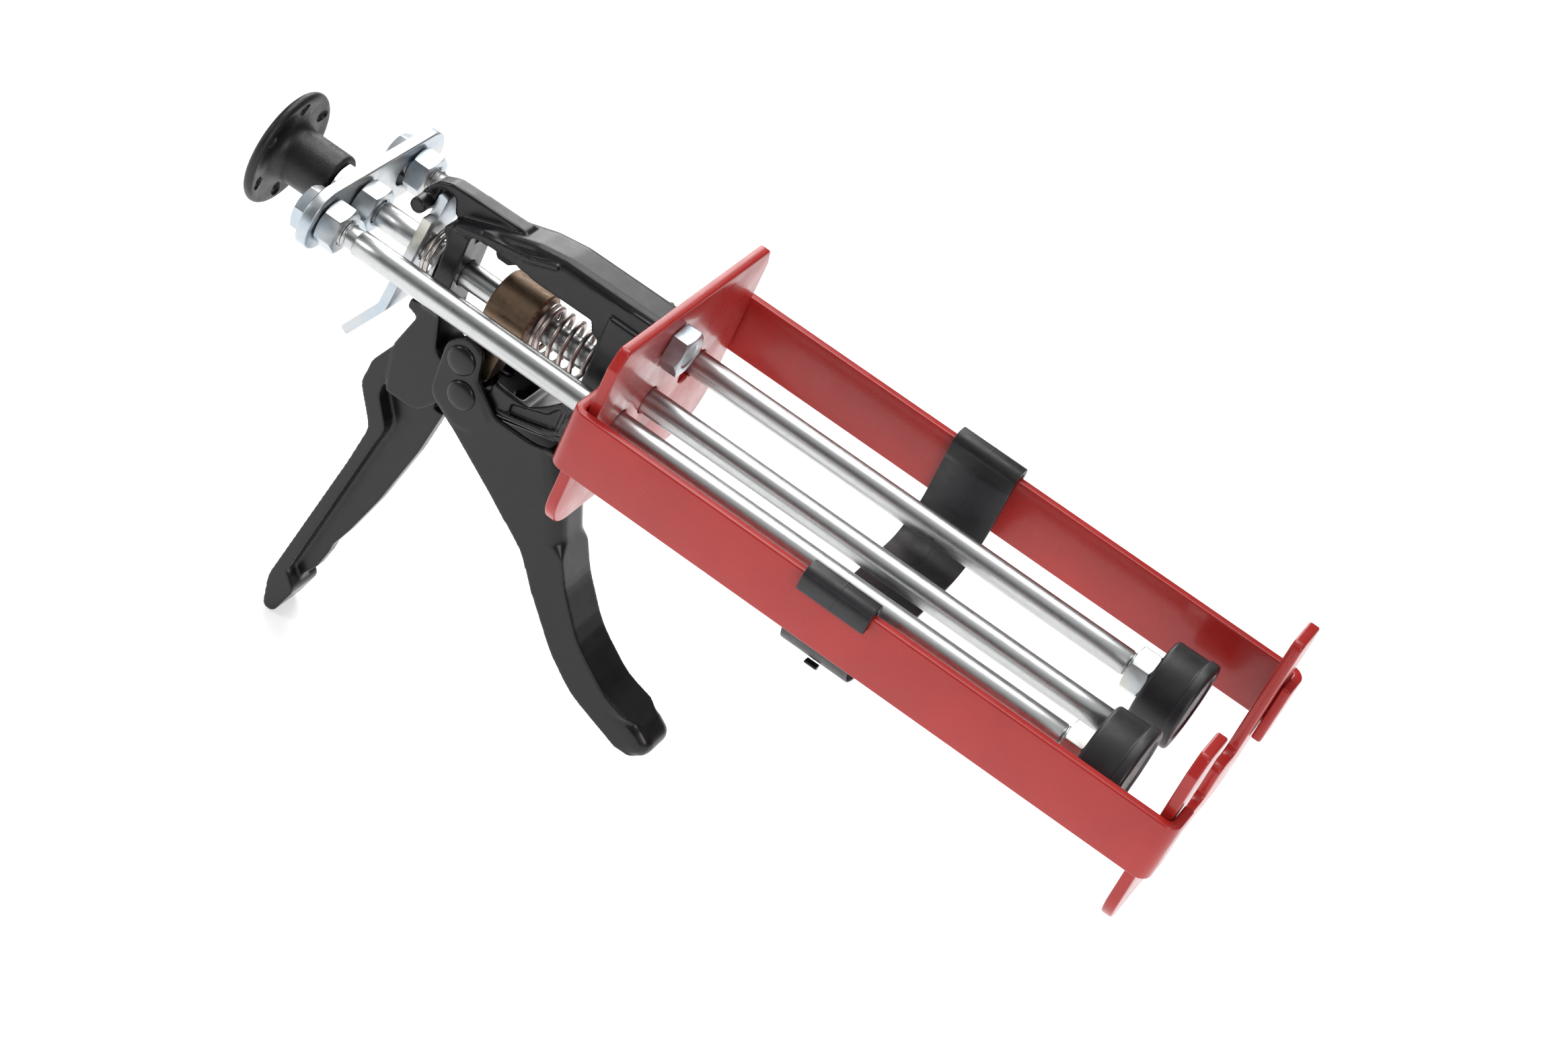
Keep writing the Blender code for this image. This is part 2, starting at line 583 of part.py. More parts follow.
def make_knob(looks):
    """Pull knob: a hub that flares into a thin drilled disc."""
    disc, hub, fillet, bead = KNOB_DISC_RADIUS, KNOB_HUB_RADIUS, KNOB_FILLET, KNOB_DISC_THICKNESS / 2
    profile = [(0, KNOB_LENGTH), (hub - 1 * MM, KNOB_LENGTH), (hub, KNOB_LENGTH - 1 * MM)]
    for step in range(5):
        angle = math.pi / 2 * step / 4
        profile.append((hub + fillet * (1 - math.cos(angle)),
                        KNOB_DISC_THICKNESS + fillet * (1 - math.sin(angle))))
    for step in range(5):
        angle = math.pi / 2 - math.pi * step / 4
        profile.append((disc - bead + bead * math.cos(angle), bead + bead * math.sin(angle)))
    profile.append((hub + fillet, 0.8 * MM))
    profile.append((0, 0.2 * MM))
    knob = turned("pull_knob", profile, along("X", (KNOB_BACK_X, 0, 0)), looks["plastic"], steps=32)
    depth = KNOB_BACK_X + KNOB_LENGTH - DRIVE_ROD_REAR_X + GAP
    cut(knob, rod("knob_bore", "X", (KNOB_FRONT_X - depth, 0, 0), depth + 1 * MM, THREAD_RADIUS + GAP, steps=24))
    for index in range(KNOB_HOLE_COUNT):
        angle = FULL_TURN * (index + 0.5) / KNOB_HOLE_COUNT
        place_in_disc = (KNOB_BACK_X - 1 * MM, KNOB_HOLE_CIRCLE * math.cos(angle),
                         KNOB_HOLE_CIRCLE * math.sin(angle))
        cut(knob, rod(f"knob_hole_{index + 1}", "X", place_in_disc, KNOB_DISC_THICKNESS + fillet,
                      KNOB_HOLE_RADIUS, steps=10))
    return knob


def make_piston(looks, name, y, radius):
    """Cup piston with a raised rim at its front and a blind bore for the rod."""
    body, edge = radius - PISTON_RIM_STEP, 1 * MM
    bore = THREAD_RADIUS + GAP
    profile = [
        (0, PISTON_LENGTH - 0.6 * MM), (radius - 3 * MM, PISTON_LENGTH - 0.6 * MM),
        (radius - 2.4 * MM, PISTON_LENGTH), (radius - edge, PISTON_LENGTH), (radius, PISTON_LENGTH - edge),
        (radius, PISTON_LENGTH - PISTON_RIM_LENGTH), (body, PISTON_LENGTH - PISTON_RIM_LENGTH - 0.3 * MM),
        (body, edge), (body - edge, 0), (bore, 0), (bore, PISTON_BORE_DEPTH), (0, PISTON_BORE_DEPTH),
    ]
    return turned(name, profile, along("X", (PISTON_BACK_X, y, 0)), looks["plastic"], steps=36)


# ---------------------------------------------------------------- cast frame
def frame_piece(name, corners, half_width, edge=CAST_EDGE):
    piece = slab(name, [rounded(in_mm(corners))], "XZ", -half_width, half_width, edge=edge)
    settle(piece)
    return piece


def make_frame(looks):
    """One casting: top beam with a hooked nose, two walls, the pivot fork and the fixed handle."""
    land, face = FRAME_LAND_X / MM, FRAME_FACE_X / MM
    strap_top, strap_bottom = (STRAP_TOP_Z + GAP) / MM, (STRAP_BOTTOM_Z - GAP) / MM
    rear_back, rear_front = (value / MM for value in REAR_WALL_X)
    beam = [
        (rear_back, 8, 0), (rear_back, 9.6, 0.5), (-73.5, 14, 1.5), (-70.4, 17.6, 2), (-59, 22, 8), (-46, 26.3, 10), (-36, 27.9, 15),
        (land, 28.2, 1), (land, strap_top, 0), (face, strap_top, 0), (face, 8, 0), (-18, 8, 2), (-18.5, 12.2, 1.5),
        (-21, 13.2, 1), (-22.4, 16.6, 1), (-40, 16.2, 8), (-51, 17.4, 3), (rear_front, 16.9, 2), (rear_front, 8, 0),
    ]
    nose = [
        (-66, 16, 1), (-50, 20.5, 0), (-50, 25.4, 3), (-60, 24.9, 8), (-71, 24.7, 12), (-77.5, 24.3, 4),
        (-82, 22.3, 3), (-85, 17.5, 3), (-85.4, 13, 2), (-80.6, 12.8, 0.8), (-79.9, 21.2, 0.8),
        (-75, 21.2, 1.5), (-73.4, 16, 1.5),
    ]
    inner_web = [
        (-66, 20.5, 0), (-40, 22, 0), (-42, 18, 1), (-50, 14.6, 1.5), (-53, 12, 1), (-57, 12, 1), (-59, 15, 2),
        (-63, 14.6, 1), (-66, 8, 0),
    ]
    fork = [
        (-41.5, -21, 1), (-29, -21.4, 3), (-24, -17, 3), (-20, -12.5, 2), (-19, -7, 1), (face, -7, 0),
        (face, strap_bottom, 0), (land, strap_bottom, 0), (land, -24, 2), (-15, -25, 4), (-36, -31, 6),
        (-43, -36, 5), (-54, -37.5, 6), (-60, -46, 5), (-71, -46, 0), (-74, -30, 0), (rear_back + 1, -14, 0),
        (rear_back + 1, -8, 0), (rear_front, -8, 0), (rear_front, -12, 2), (-61.5, -23, 3),
        (-58, -25.3, 2), (-41.5, -25.3, 1.5),
    ]
    flange = [
        (-69.5, -12.5, 0), (-74.5, -13.5, 1), (-74.5, -16.5, 1), (-70.2, -18, 2), (-71, -25, 6),
        (-78.4, -40, 7), (-79, -49, 5), (-71.4, -61, 6), (-73.5, -76, 40), (-83.4, -131, 10),
        (-81.4, -142.4, 2.8), (-77.4, -142, 2.6), (-73.6, -130.5, 3), (-78.2, -125.5, 2),
        (-68.2, -67, 25), (-66.4, -58, 5), (-72.5, -48.5, 5), (-72, -38, 6), (-65, -26, 6), (-64, -12.5, 0),
    ]
    web = [
        (-72, -28, 0), (-77, -44, 5), (-70, -61, 8), (-72.5, -76, 40), (-81.5, -131, 5), (-75.4, -132, 2),
        (-74.6, -126.5, 1), (-71.6, -121, 3), (-69.9, -114, 1.5), (-69.6, -110.4, 1.5), (-66.4, -102, 4),
        (-61.5, -86, 25), (-56, -62, 30), (-52.5, -38, 3), (-56, -26, 3),
    ]
    frame = slab("frame_casting", [rounded(in_mm(beam))], "XZ", -BEAM_HALF_WIDTH, BEAM_HALF_WIDTH, looks["cast"])
    settle(frame)
    soften(frame, BEAM_HALF_WIDTH, BEAM_ROUND, lambda end: end.z > 20.5 * MM)
    rear_wall = box("rear_wall", (REAR_WALL_X[0], -ROD_BOSS_RADIUS + 1 * MM, -13 * MM),
                    (REAR_WALL_X[1], ROD_BOSS_RADIUS - 1 * MM, 15.5 * MM))
    front_wall = box("front_wall", (FRONT_WALL_BACK_X, -WALL_HALF_WIDTH, -22 * MM),
                     (FRAME_FACE_X, WALL_HALF_WIDTH, 22 * MM))
    join(frame, frame_piece("pivot_fork", fork, FORK_HALF_WIDTH), rear_wall, front_wall,
         frame_piece("nose_arm", nose, NOSE_HALF_WIDTH), frame_piece("inner_web", inner_web, NOSE_HALF_WIDTH - GAP),
         frame_piece("handle_flange", flange, FLANGE_HALF_WIDTH),
         frame_piece("handle_web", web, WEB_HALF_WIDTH, edge=0.5 * MM),
         rod("nose_peg", "Y", (-82.8 * MM, -BEAM_HALF_WIDTH - 0.7 * MM, 15.2 * MM), 2 * BEAM_HALF_WIDTH + 1.4 * MM,
             2.5 * MM, steps=20),
         rod("side_boss", "Y", (-14.5 * MM, -WALL_HALF_WIDTH - 0.8 * MM, -15.5 * MM), 2 * WALL_HALF_WIDTH + 1.6 * MM,
             2.3 * MM, steps=16))
    settle(frame)
    past = 1 * MM
    bore = ROD_RADIUS + GAP
    cut(frame,
        rod("rear_bore", "X", (REAR_WALL_X[0] - past, 0, 0), 10 * MM, bore),
        rod("front_bore", "X", (FRONT_WALL_BACK_X - past, 0, 0), 30 * MM, bore),
        box("tail_slot", (-57 * MM, -FORK_SLOT_HALF_WIDTH, -45 * MM), (-32 * MM, FORK_SLOT_HALF_WIDTH, -8 * MM)),
        rod("pivot_hole", "Y", (PIVOT.x, -FORK_HALF_WIDTH - past, PIVOT.z), 2 * FORK_HALF_WIDTH + 2 * past,
            PIN_RADIUS + GAP, steps=24))
    for name, z in (("upper", UPPER_BOLT_Z), ("lower", LOWER_BOLT_Z)):
        cut(frame, rod(f"frame_{name}_bolt_hole", "X", (GAP + 1 * MM - BOLT_LENGTH - past, 0, z),
                       BOLT_LENGTH + past, BOLT_DIAMETER / 2 + GAP, steps=24))
    for side in (-1, 1):
        add_pockets(frame, side)
    return frame


def add_pockets(frame, side):
    """Shallow cast recesses on one side of the beams."""
    pockets = (
        ("lower_pocket", [(-34, -23.6, 1), (-23, -19.4, 1.5), (-19, -13, 1), (-19, -22.6, 1.5), (-34, -27.4, 1.5)],
         FORK_HALF_WIDTH),
    )
    for name, corners, half_width in pockets:
        depth = 1.2 * MM
        low, high = half_width - depth, half_width + 1 * MM
        if side < 0:
            low, high = -high, -low
        cut(frame, slab(f"{name}_{'left' if side > 0 else 'right'}", [rounded(in_mm(corners))], "XZ", -high, -low))


# ---------------------------------------------------------------- trigger and drive
def make_trigger(looks):
    """Channel of pressed steel, closed along its front and open to the handle."""
    front_edge = [(-15.5, -27, 3), (-9.3, -39, 20), (-3.2, -53.9, 25), (4, -67.5, 30), (14.5, -81.4, 30),
                  (28, -91, 20), (43, -95, 4)]
    outline = [
        (-58.6, -16.5, 6), (-53, -10.2, 7), (-46.6, -13, 4), (-45.4, -22, 5), (-36, -29.4, 5), (-22, -29.2, 6),
    ] + front_edge + [
        (48.2, -98.6, 3.5), (46.6, -105, 4.5), (38.6, -105.2, 5), (18.6, -98.2, 25), (7.6, -89.7, 25),
        (-4.4, -76.2, 25), (-13.2, -64, 20), (-28, -53.5, 20), (-46, -42, 8), (-57.5, -35.5, 5),
    ]
    trigger = slab("trigger", [rounded(in_mm(outline))], "XZ", -TRIGGER_HALF_WIDTH, TRIGGER_HALF_WIDTH,
                   looks["cast"])
    settle(trigger)
    soften(trigger, TRIGGER_HALF_WIDTH, TRIGGER_ROUND,
           lambda end: end.x > -14.5 * MM and (end.z > -58 * MM - end.x * 0.95 or end.x > 44 * MM))
    wall = TRIGGER_FRONT_WALL / MM
    pocket = [(-75, 10, 0), (-18.5, 10, 0), (-18.5, -27.5, 0)]
    pocket += [(x - wall * 0.85, z - wall * 0.55, radius) for x, z, radius in front_edge[1:5]]
    pocket += [(27, -91.4 - wall, 20), (38, -95.5 - wall, 1), (34, -104, 1), (30, -112, 0), (-75, -112, 0)]
    inside = TRIGGER_HALF_WIDTH - TRIGGER_WALL
    channel = slab("trigger_channel", [rounded(in_mm(pocket))], "XZ", -inside, inside)
    narrow(trigger)
    narrow(channel)
    cut(trigger, channel)
    for name, centre in (("pivot", PIVOT), ("pin", DRIVE_PIN)):
        cut(trigger, rod(f"trigger_{name}_hole", "Y", (centre.x, -TRIGGER_HALF_WIDTH - 1 * MM, centre.z),
                         2 * TRIGGER_HALF_WIDTH + 2 * MM, PIN_RADIUS + GAP, steps=24))
    return trigger


def narrow(item):
    """Taper the channel's sides from full width at the pivot to the grip's width."""
    start, end = TRIGGER_TAPER_X
    least = TRIGGER_GRIP_HALF_WIDTH / TRIGGER_HALF_WIDTH
    shape = bmesh.new()
    shape.from_mesh(item.data)
    for step in range(5):
        everything = list(shape.verts) + list(shape.edges) + list(shape.faces)
        bmesh.ops.bisect_plane(shape, geom=everything, plane_co=(start + (end - start) * step / 4, 0, 0),
                               plane_no=(1, 0, 0))
    for vertex in shape.verts:
        share = min(max((vertex.co.x - start) / (end - start), 0), 1)
        vertex.co.z *= 1 - (1 - least) * share * share * (3 - 2 * share)
    bmesh.ops.triangulate(shape, faces=shape.faces)
    shape.to_mesh(item.data)
    shape.free()


def make_rivet(looks, name, centre):
    """Pin across the trigger's cheeks with a domed head at each end."""
    half = TRIGGER_HALF_WIDTH + GAP
    head, height = RIVET_HEAD_RADIUS, RIVET_HEAD_HEIGHT
    dome = []
    for step in range(5):
        angle = math.pi / 2 * step / 4
        dome.append((head * math.sin(angle), half + height * math.cos(angle)))
    mirrored = [(radius, -z) for radius, z in reversed(dome)]
    profile = dome + [(head, half), (PIN_RADIUS, half), (PIN_RADIUS, -half), (head, -half)] + mirrored
    profile = [point for index, point in enumerate(profile) if index == 0 or point != profile[index - 1]]
    return turned(name, profile, along("Y", centre), looks["cast"], steps=20)


def make_dog(looks):
    """Collar round the drive rod with a tail that the drive pin pushes."""
    edge = 0.5 * MM
    profile = [(0, DOG_LENGTH), (DOG_RADIUS - edge, DOG_LENGTH), (DOG_RADIUS, DOG_LENGTH - edge), (DOG_RADIUS, edge),
               (DOG_RADIUS - edge, 0), (0, 0)]
    dog = turned("drive_dog", profile, along("X", (DOG_BACK_X, 0, 0)), looks["bronze"], steps=32)
    tail_back = DRIVE_PIN.x + PIN_RADIUS + GAP
    tail_front = tail_back + DOG_TAIL_DEPTH
    tail = rounded([
        (DOG_BACK_X + 1 * MM, 0, 0), (DOG_BACK_X + 1 * MM, -10 * MM, 2 * MM), (tail_back, -14 * MM, 2 * MM),
        (tail_back, DOG_TAIL_BOTTOM_Z + 2 * MM, 1 * MM), (tail_back + 2 * MM, DOG_TAIL_BOTTOM_Z, 1 * MM),
        (tail_front - 1 * MM, DOG_TAIL_BOTTOM_Z, 1 * MM), (tail_front, -14 * MM, 2 * MM),
        (DOG_BACK_X + DOG_LENGTH - 2 * MM, -7 * MM, 2 * MM), (DOG_BACK_X + DOG_LENGTH - 2 * MM, 0, 0),
    ])
    join(dog, slab("dog_tail", [tail], "XZ", -DOG_TAIL_HALF_WIDTH, DOG_TAIL_HALF_WIDTH))
    cut(dog, rod("dog_bore", "X", (DOG_BACK_X - 1 * MM, 0, 0), DOG_LENGTH + 2 * MM, ROD_RADIUS + GAP))
    return dog


def make_spring(looks, name, start, end, radius, wire, turns, close_turns):
    """Round-wire coil along X whose first turns lie close together."""
    curve = bpy.data.curves.new(name, "CURVE")
    curve.dimensions = "3D"
    curve.bevel_depth = wire / 2
    curve.bevel_resolution = 1
    curve.use_fill_caps = True
    steps_per_turn = 14
    count = round(turns * steps_per_turn)
    low, high = start + wire / 2, end - wire / 2
    closed = close_turns * wire * 1.06
    spline = curve.splines.new("POLY")
    spline.points.add(count)
    for step, point in enumerate(spline.points):
        turn = step / steps_per_turn
        angle = FULL_TURN * turn
        if turn < close_turns:
            x = low + turn * wire * 1.06
        else:
            x = low + closed + (high - low - closed) * (turn - close_turns) / (turns - close_turns)
        point.co = (x, radius * math.cos(angle), radius * math.sin(angle), 1)
    item = bpy.data.objects.new(name + "_wire", curve)
    cutters.objects.link(item)
    mesh, matrix = as_mesh(item)
    mesh.name = name
    mesh.shade_smooth()
    return place(name, mesh, looks["spring"], matrix)


# ---------------------------------------------------------------- catch
def make_catch(looks):
    """Tilted plate that grips the drive rod, its lower end bent back as a thumb tab."""
    half = CATCH_THICKNESS / 2
    down = Vector((-math.sin(CATCH_TILT), -math.cos(CATCH_TILT)))
    across = Vector((math.cos(CATCH_TILT), -math.sin(CATCH_TILT)))
    tab_down = Vector((-math.sin(CATCH_TILT + CATCH_TAB_ANGLE), -math.cos(CATCH_TILT + CATCH_TAB_ANGLE)))
    tab_across = Vector((-tab_down.y, tab_down.x))
    top = Vector((CATCH_TOP.x, CATCH_TOP.z))
    bend = top + down * CATCH_LENGTH
    tip = bend + tab_down * CATCH_TAB_LENGTH
    joint = (across + tab_across).normalized() * half
    outline = [top + across * half, top - across * half, bend - joint, tip - tab_across * half,
               tip + tab_across * half, bend + joint]
    radii = (0.5, 0.5, 2, 0.8, 0.8, 4)
    corners = [(point.x, point.y, radius * MM) for point, radius in zip(outline, radii)]
    plate = slab("catch_plate", [rounded(corners)], "XZ", -CATCH_HALF_WIDTH, CATCH_HALF_WIDTH, looks["zinc"])
    shoulder = top + down * CATCH_TONGUE_LENGTH
    for side in (-1, 1):
        inner, outer = side * CATCH_TONGUE_HALF_WIDTH, side * (CATCH_HALF_WIDTH + 1 * MM)
        cut(plate, box(f"catch_shoulder_{'left' if side > 0 else 'right'}",
                       (top.x - 6 * MM, min(inner, outer), shoulder.y), (top.x + 6 * MM, max(inner, outer), top.y + 1 * MM)))
    centre_x = CATCH_TOP.x - math.tan(CATCH_TILT) * CATCH_TOP.z
    hole = ROD_RADIUS + CATCH_HOLE_CLEARANCE / 2
    cut(plate, rod("catch_hole", "X", (centre_x - 6 * MM, 0, 0), 12 * MM, hole))
    return plate


def make_catch_spring(looks):
    cup_x = REAR_WALL_X[0] - GAP - CATCH_CUP_THICKNESS
    make_washer(looks, "catch_spring_cup", cup_x, 0, CATCH_CUP_RADIUS, CATCH_CUP_THICKNESS, ROD_RADIUS + GAP)
    plate_face = CATCH_TOP.x - math.tan(CATCH_TILT) * (CATCH_TOP.z - CATCH_SPRING_RADIUS)
    plate_face += CATCH_THICKNESS / 2 / math.cos(CATCH_TILT)
    make_spring(looks, "catch_spring", plate_face + 2 * GAP, cup_x - GAP, CATCH_SPRING_RADIUS, CATCH_SPRING_WIRE,
                CATCH_SPRING_TURNS, 0)


def main():
    clear_scene()
    looks = make_finishes()
    make_rear_plate(looks)
    make_front_plate(looks)
    make_strap(looks)
    make_saddle(looks)
    make_frame(looks)
    make_bolt(looks, "upper_frame_bolt", UPPER_BOLT_Z)
    make_bolt(looks, "lower_frame_bolt", LOWER_BOLT_Z)
    make_trigger(looks)
    make_rivet(looks, "trigger_pivot_rivet", PIVOT)
    make_rivet(looks, "drive_pin_rivet", DRIVE_PIN)
    make_dog(looks)
    make_spring(looks, "return_spring", DOG_BACK_X + DOG_LENGTH + GAP, FRONT_WALL_BACK_X - GAP,
                RETURN_SPRING_RADIUS, RETURN_SPRING_WIRE, RETURN_SPRING_TURNS, 1.5)
    make_catch(looks)
    make_catch_spring(looks)
    make_rods(looks)
    make_yoke(looks)
    make_knob(looks)
    make_piston(looks, "right_piston", RIGHT_ROD_Y, RIGHT_PISTON_RADIUS)
    make_piston(looks, "left_piston", LEFT_ROD_Y, LEFT_PISTON_RADIUS)
    centre_on_cradle()


main()
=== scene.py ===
"""Two-component caulking gun, dressed for rendering round its packed mechanical frame."""
import logging
import math
from dataclasses import dataclass
from enum import Enum
from typing import Sequence

import bmesh
import bpy
from mathutils import Matrix, Vector


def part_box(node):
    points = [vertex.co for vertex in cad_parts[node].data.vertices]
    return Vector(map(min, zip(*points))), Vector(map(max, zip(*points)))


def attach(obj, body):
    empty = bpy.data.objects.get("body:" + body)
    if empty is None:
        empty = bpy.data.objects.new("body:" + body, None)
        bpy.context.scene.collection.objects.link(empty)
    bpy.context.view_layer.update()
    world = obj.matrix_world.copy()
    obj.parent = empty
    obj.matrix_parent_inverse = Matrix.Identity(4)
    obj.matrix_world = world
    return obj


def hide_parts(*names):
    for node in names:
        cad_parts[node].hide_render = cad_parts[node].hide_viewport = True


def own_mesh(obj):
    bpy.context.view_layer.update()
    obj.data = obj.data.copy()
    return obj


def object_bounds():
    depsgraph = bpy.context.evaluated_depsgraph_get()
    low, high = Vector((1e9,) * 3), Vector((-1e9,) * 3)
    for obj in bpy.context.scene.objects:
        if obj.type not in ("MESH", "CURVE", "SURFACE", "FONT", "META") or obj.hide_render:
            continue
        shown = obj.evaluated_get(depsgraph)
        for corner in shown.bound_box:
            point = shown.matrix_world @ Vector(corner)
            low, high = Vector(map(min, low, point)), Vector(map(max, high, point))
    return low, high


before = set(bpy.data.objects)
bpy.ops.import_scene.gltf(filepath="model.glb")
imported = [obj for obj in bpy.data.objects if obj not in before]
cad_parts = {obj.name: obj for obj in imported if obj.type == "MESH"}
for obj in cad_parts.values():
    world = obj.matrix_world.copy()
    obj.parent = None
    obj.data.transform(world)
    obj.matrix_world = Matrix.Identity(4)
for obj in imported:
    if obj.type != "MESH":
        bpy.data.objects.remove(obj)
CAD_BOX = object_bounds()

LOG = logging.getLogger("caulking_gun")
MM = 0.001
TURN = 2 * math.pi
Point2 = tuple[float, float]
Corner = tuple[float, float, float]
Color = tuple[float, float, float]
Row = tuple[float, float | None]  # a place along a rod and its radius there, None in a thread
SPARE_STEP = 5.3  # millimetres between the left rod's two places


class Body(Enum):
    """The moving groups of the gun, by their names in the frame."""

    FRAME = "frame"
    PUSHER = "pusher"
    TRIGGER = "trigger"
    DOG = "dog"
    CATCH = "catch"
    SADDLE = "saddle"


class Plane(Enum):
    """The plane an outline is drawn in; the slab runs along the third axis."""

    YZ = "YZ"
    XZ = "XZ"
    XY = "XY"

    def place(self, u: float, v: float, depth: float) -> Vector:
        """Find the point in the frame for a point of an outline.

        Args:
            u: the outline's first coordinate.
            v: its second coordinate.
            depth: place along the third axis.

        Returns:
            The point.
        """
        if self is Plane.YZ:
            return Vector((depth, u, v))
        if self is Plane.XZ:
            return Vector((u, depth, v))
        return Vector((u, v, depth))


class Grain(Enum):
    """How coarse a moulded surface is."""

    FINE = 2600.0
    LEATHER = 1150.0


# ---------------------------------------------------------------- finishes
class NodeKit:
    """Small helper that wires one procedural material."""

    def __init__(self, name: str) -> None:
        """Start an empty Principled material.

        Args:
            name: the material's name.
        """
        self.material = bpy.data.materials.new(name)
        self.material.use_nodes = True
        self.tree = self.material.node_tree
        self.shader = self.tree.nodes["Principled BSDF"]
        self.place = self.tree.nodes.new("ShaderNodeTexCoord").outputs["Object"]

    def fixed(self, **values: float | tuple[float, ...]) -> None:
        """Set shader sockets that are the same all over; underscores stand for spaces."""
        for socket, value in values.items():
            self.shader.inputs[socket.replace("_", " ")].default_value = value

    def noise(self, scale: float, detail: float = 3.0, stretch: Sequence[float] = (1, 1, 1),
              rough: float = 0.55) -> bpy.types.NodeSocket:
        """Noise in the piece's own space.

        Args:
            scale: waves per metre.
            detail: octaves of finer noise.
            stretch: factor on the coordinates along each axis.
            rough: weight of the finer octaves.

        Returns:
            The noise's value socket.
        """
        mapping = self.tree.nodes.new("ShaderNodeMapping")
        mapping.inputs["Scale"].default_value = tuple(stretch)
        self.tree.links.new(self.place, mapping.inputs["Vector"])
        texture = self.tree.nodes.new("ShaderNodeTexNoise")
        texture.inputs["Scale"].default_value = scale
        texture.inputs["Detail"].default_value = detail
        texture.inputs["Roughness"].default_value = rough
        self.tree.links.new(mapping.outputs["Vector"], texture.inputs["Vector"])
        return texture.outputs["Fac"]

    def cells(self, scale: float) -> bpy.types.NodeSocket:
        """Cells for a pebbled grain.

        Args:
            scale: cells per metre.

        Returns:
            The distance to the nearest cell centre.
        """
        texture = self.tree.nodes.new("ShaderNodeTexVoronoi")
        texture.inputs["Scale"].default_value = scale
        self.tree.links.new(self.place, texture.inputs["Vector"])
        return texture.outputs["Distance"]

    def edges(self) -> bpy.types.NodeSocket:
        """Pointiness: under a half in hollows and over it on edges."""
        return self.tree.nodes.new("ShaderNodeNewGeometry").outputs["Pointiness"]

    def ramp(self, value: bpy.types.NodeSocket, stops: Sequence[tuple[float, Color]]
             ) -> bpy.types.NodeSocket:
        """Colour ramp over a value.

        Args:
            value: the socket to read.
            stops: positions and their colours, in order.

        Returns:
            The ramp's colour socket.
        """
        node = self.tree.nodes.new("ShaderNodeValToRGB")
        band = node.color_ramp
        for index, (position, color) in enumerate(stops):
            element = band.elements[index] if index < 2 else band.elements.new(position)
            element.position = position
            element.color = (*color, 1)
        self.tree.links.new(value, node.inputs["Fac"])
        return node.outputs["Color"]

    def spread(self, value: bpy.types.NodeSocket, low: float, high: float, start: float = 0.3,
               end: float = 0.7) -> bpy.types.NodeSocket:
        """Map one stretch of a value to another.

        Args:
            value: the socket to read.
            low: result at the start of the stretch.
            high: result at its end.
            start: where the stretch starts.
            end: where it ends.

        Returns:
            The mapped socket.
        """
        node = self.tree.nodes.new("ShaderNodeMapRange")
        limits = {"From Min": start, "From Max": end, "To Min": low, "To Max": high}
        for socket, number in limits.items():
            node.inputs[socket].default_value = number
        self.tree.links.new(value, node.inputs["Value"])
        return node.outputs["Result"]

    def mix(self, share: bpy.types.NodeSocket, first: bpy.types.NodeSocket, second: Color
            ) -> bpy.types.NodeSocket:
        """Blend a colour socket towards a fixed colour.

        Args:
            share: how much of the fixed colour shows.
            first: the colour socket.
            second: the fixed colour.

        Returns:
            The blended colour socket.
        """
        node = self.tree.nodes.new("ShaderNodeMix")
        node.data_type = "RGBA"
        self.tree.links.new(share, node.inputs["Factor"])
        self.tree.links.new(first, node.inputs["A"])
        node.inputs["B"].default_value = (*second, 1)
        return node.outputs["Result"]

    def link(self, value: bpy.types.NodeSocket, socket: str) -> None:
        """Feed a shader socket."""
        self.tree.links.new(value, self.shader.inputs[socket])

    def bump(self, *layers: tuple[bpy.types.NodeSocket, float]) -> None:
        """Stack bumps on the surface.

        Args:
            layers: a height socket and its height in metres for each bump, the coarsest first.
        """
        normal = None
        for height, distance in layers:
            node = self.tree.nodes.new("ShaderNodeBump")
            node.inputs["Strength"].default_value = 1
            node.inputs["Distance"].default_value = distance
            self.tree.links.new(height, node.inputs["Height"])
            if normal is not None:
                self.tree.links.new(normal, node.inputs["Normal"])
            normal = node.outputs["Normal"]
        self.link(normal, "Normal")


@dataclass(frozen=True)
class Finish:
    """A finish with a name, the record's slot it belongs to and its base colour."""

    name: str
    slot: str
    color: Color

    def material(self) -> bpy.types.Material:
        """The finish's material, made once."""
        return bpy.data.materials.get(self.name) or self.build(NodeKit(self.name))

    def shade(self, factor: float) -> Color:
        """The base colour made lighter or darker."""
        return tuple(min(channel * factor, 1.0) for channel in self.color)

    def build(self, kit: NodeKit) -> bpy.types.Material:
        """Wire the material's nodes."""
        raise NotImplementedError


@dataclass(frozen=True)
class PowderCoat(Finish):
    """Glossy powder coat with a slight orange peel."""

    gloss: float = 0.3

    def build(self, kit: NodeKit) -> bpy.types.Material:
        """Wire colour drift, orange peel and edges painted lighter, for the thinner coat there and as a
        painted edge highlight.

        Args:
            kit: the material's nodes.

        Returns:
            The wired material.
        """
        drift = kit.ramp(kit.noise(30), [(0.3, self.shade(0.9)), (0.7, self.shade(1.1))])
        # edges painted lighter from pointiness: the coat runs thinner there, and this is also a painted edge
        # highlight
        edge_wear_and_highlight = kit.spread(kit.edges(), 0, 0.3, 0.55, 0.66)
        kit.link(kit.mix(edge_wear_and_highlight, drift, self.shade(1.5)), "Base Color")
        kit.link(kit.spread(kit.noise(160), self.gloss - 0.05, self.gloss + 0.06), "Roughness")
        kit.fixed(Coat_Weight=0.3, Coat_Roughness=0.12, Specular_IOR_Level=0.4)
        kit.bump((kit.noise(420, 0), 5e-6), (kit.noise(2600, 2), 0.6e-6))
        return kit.material


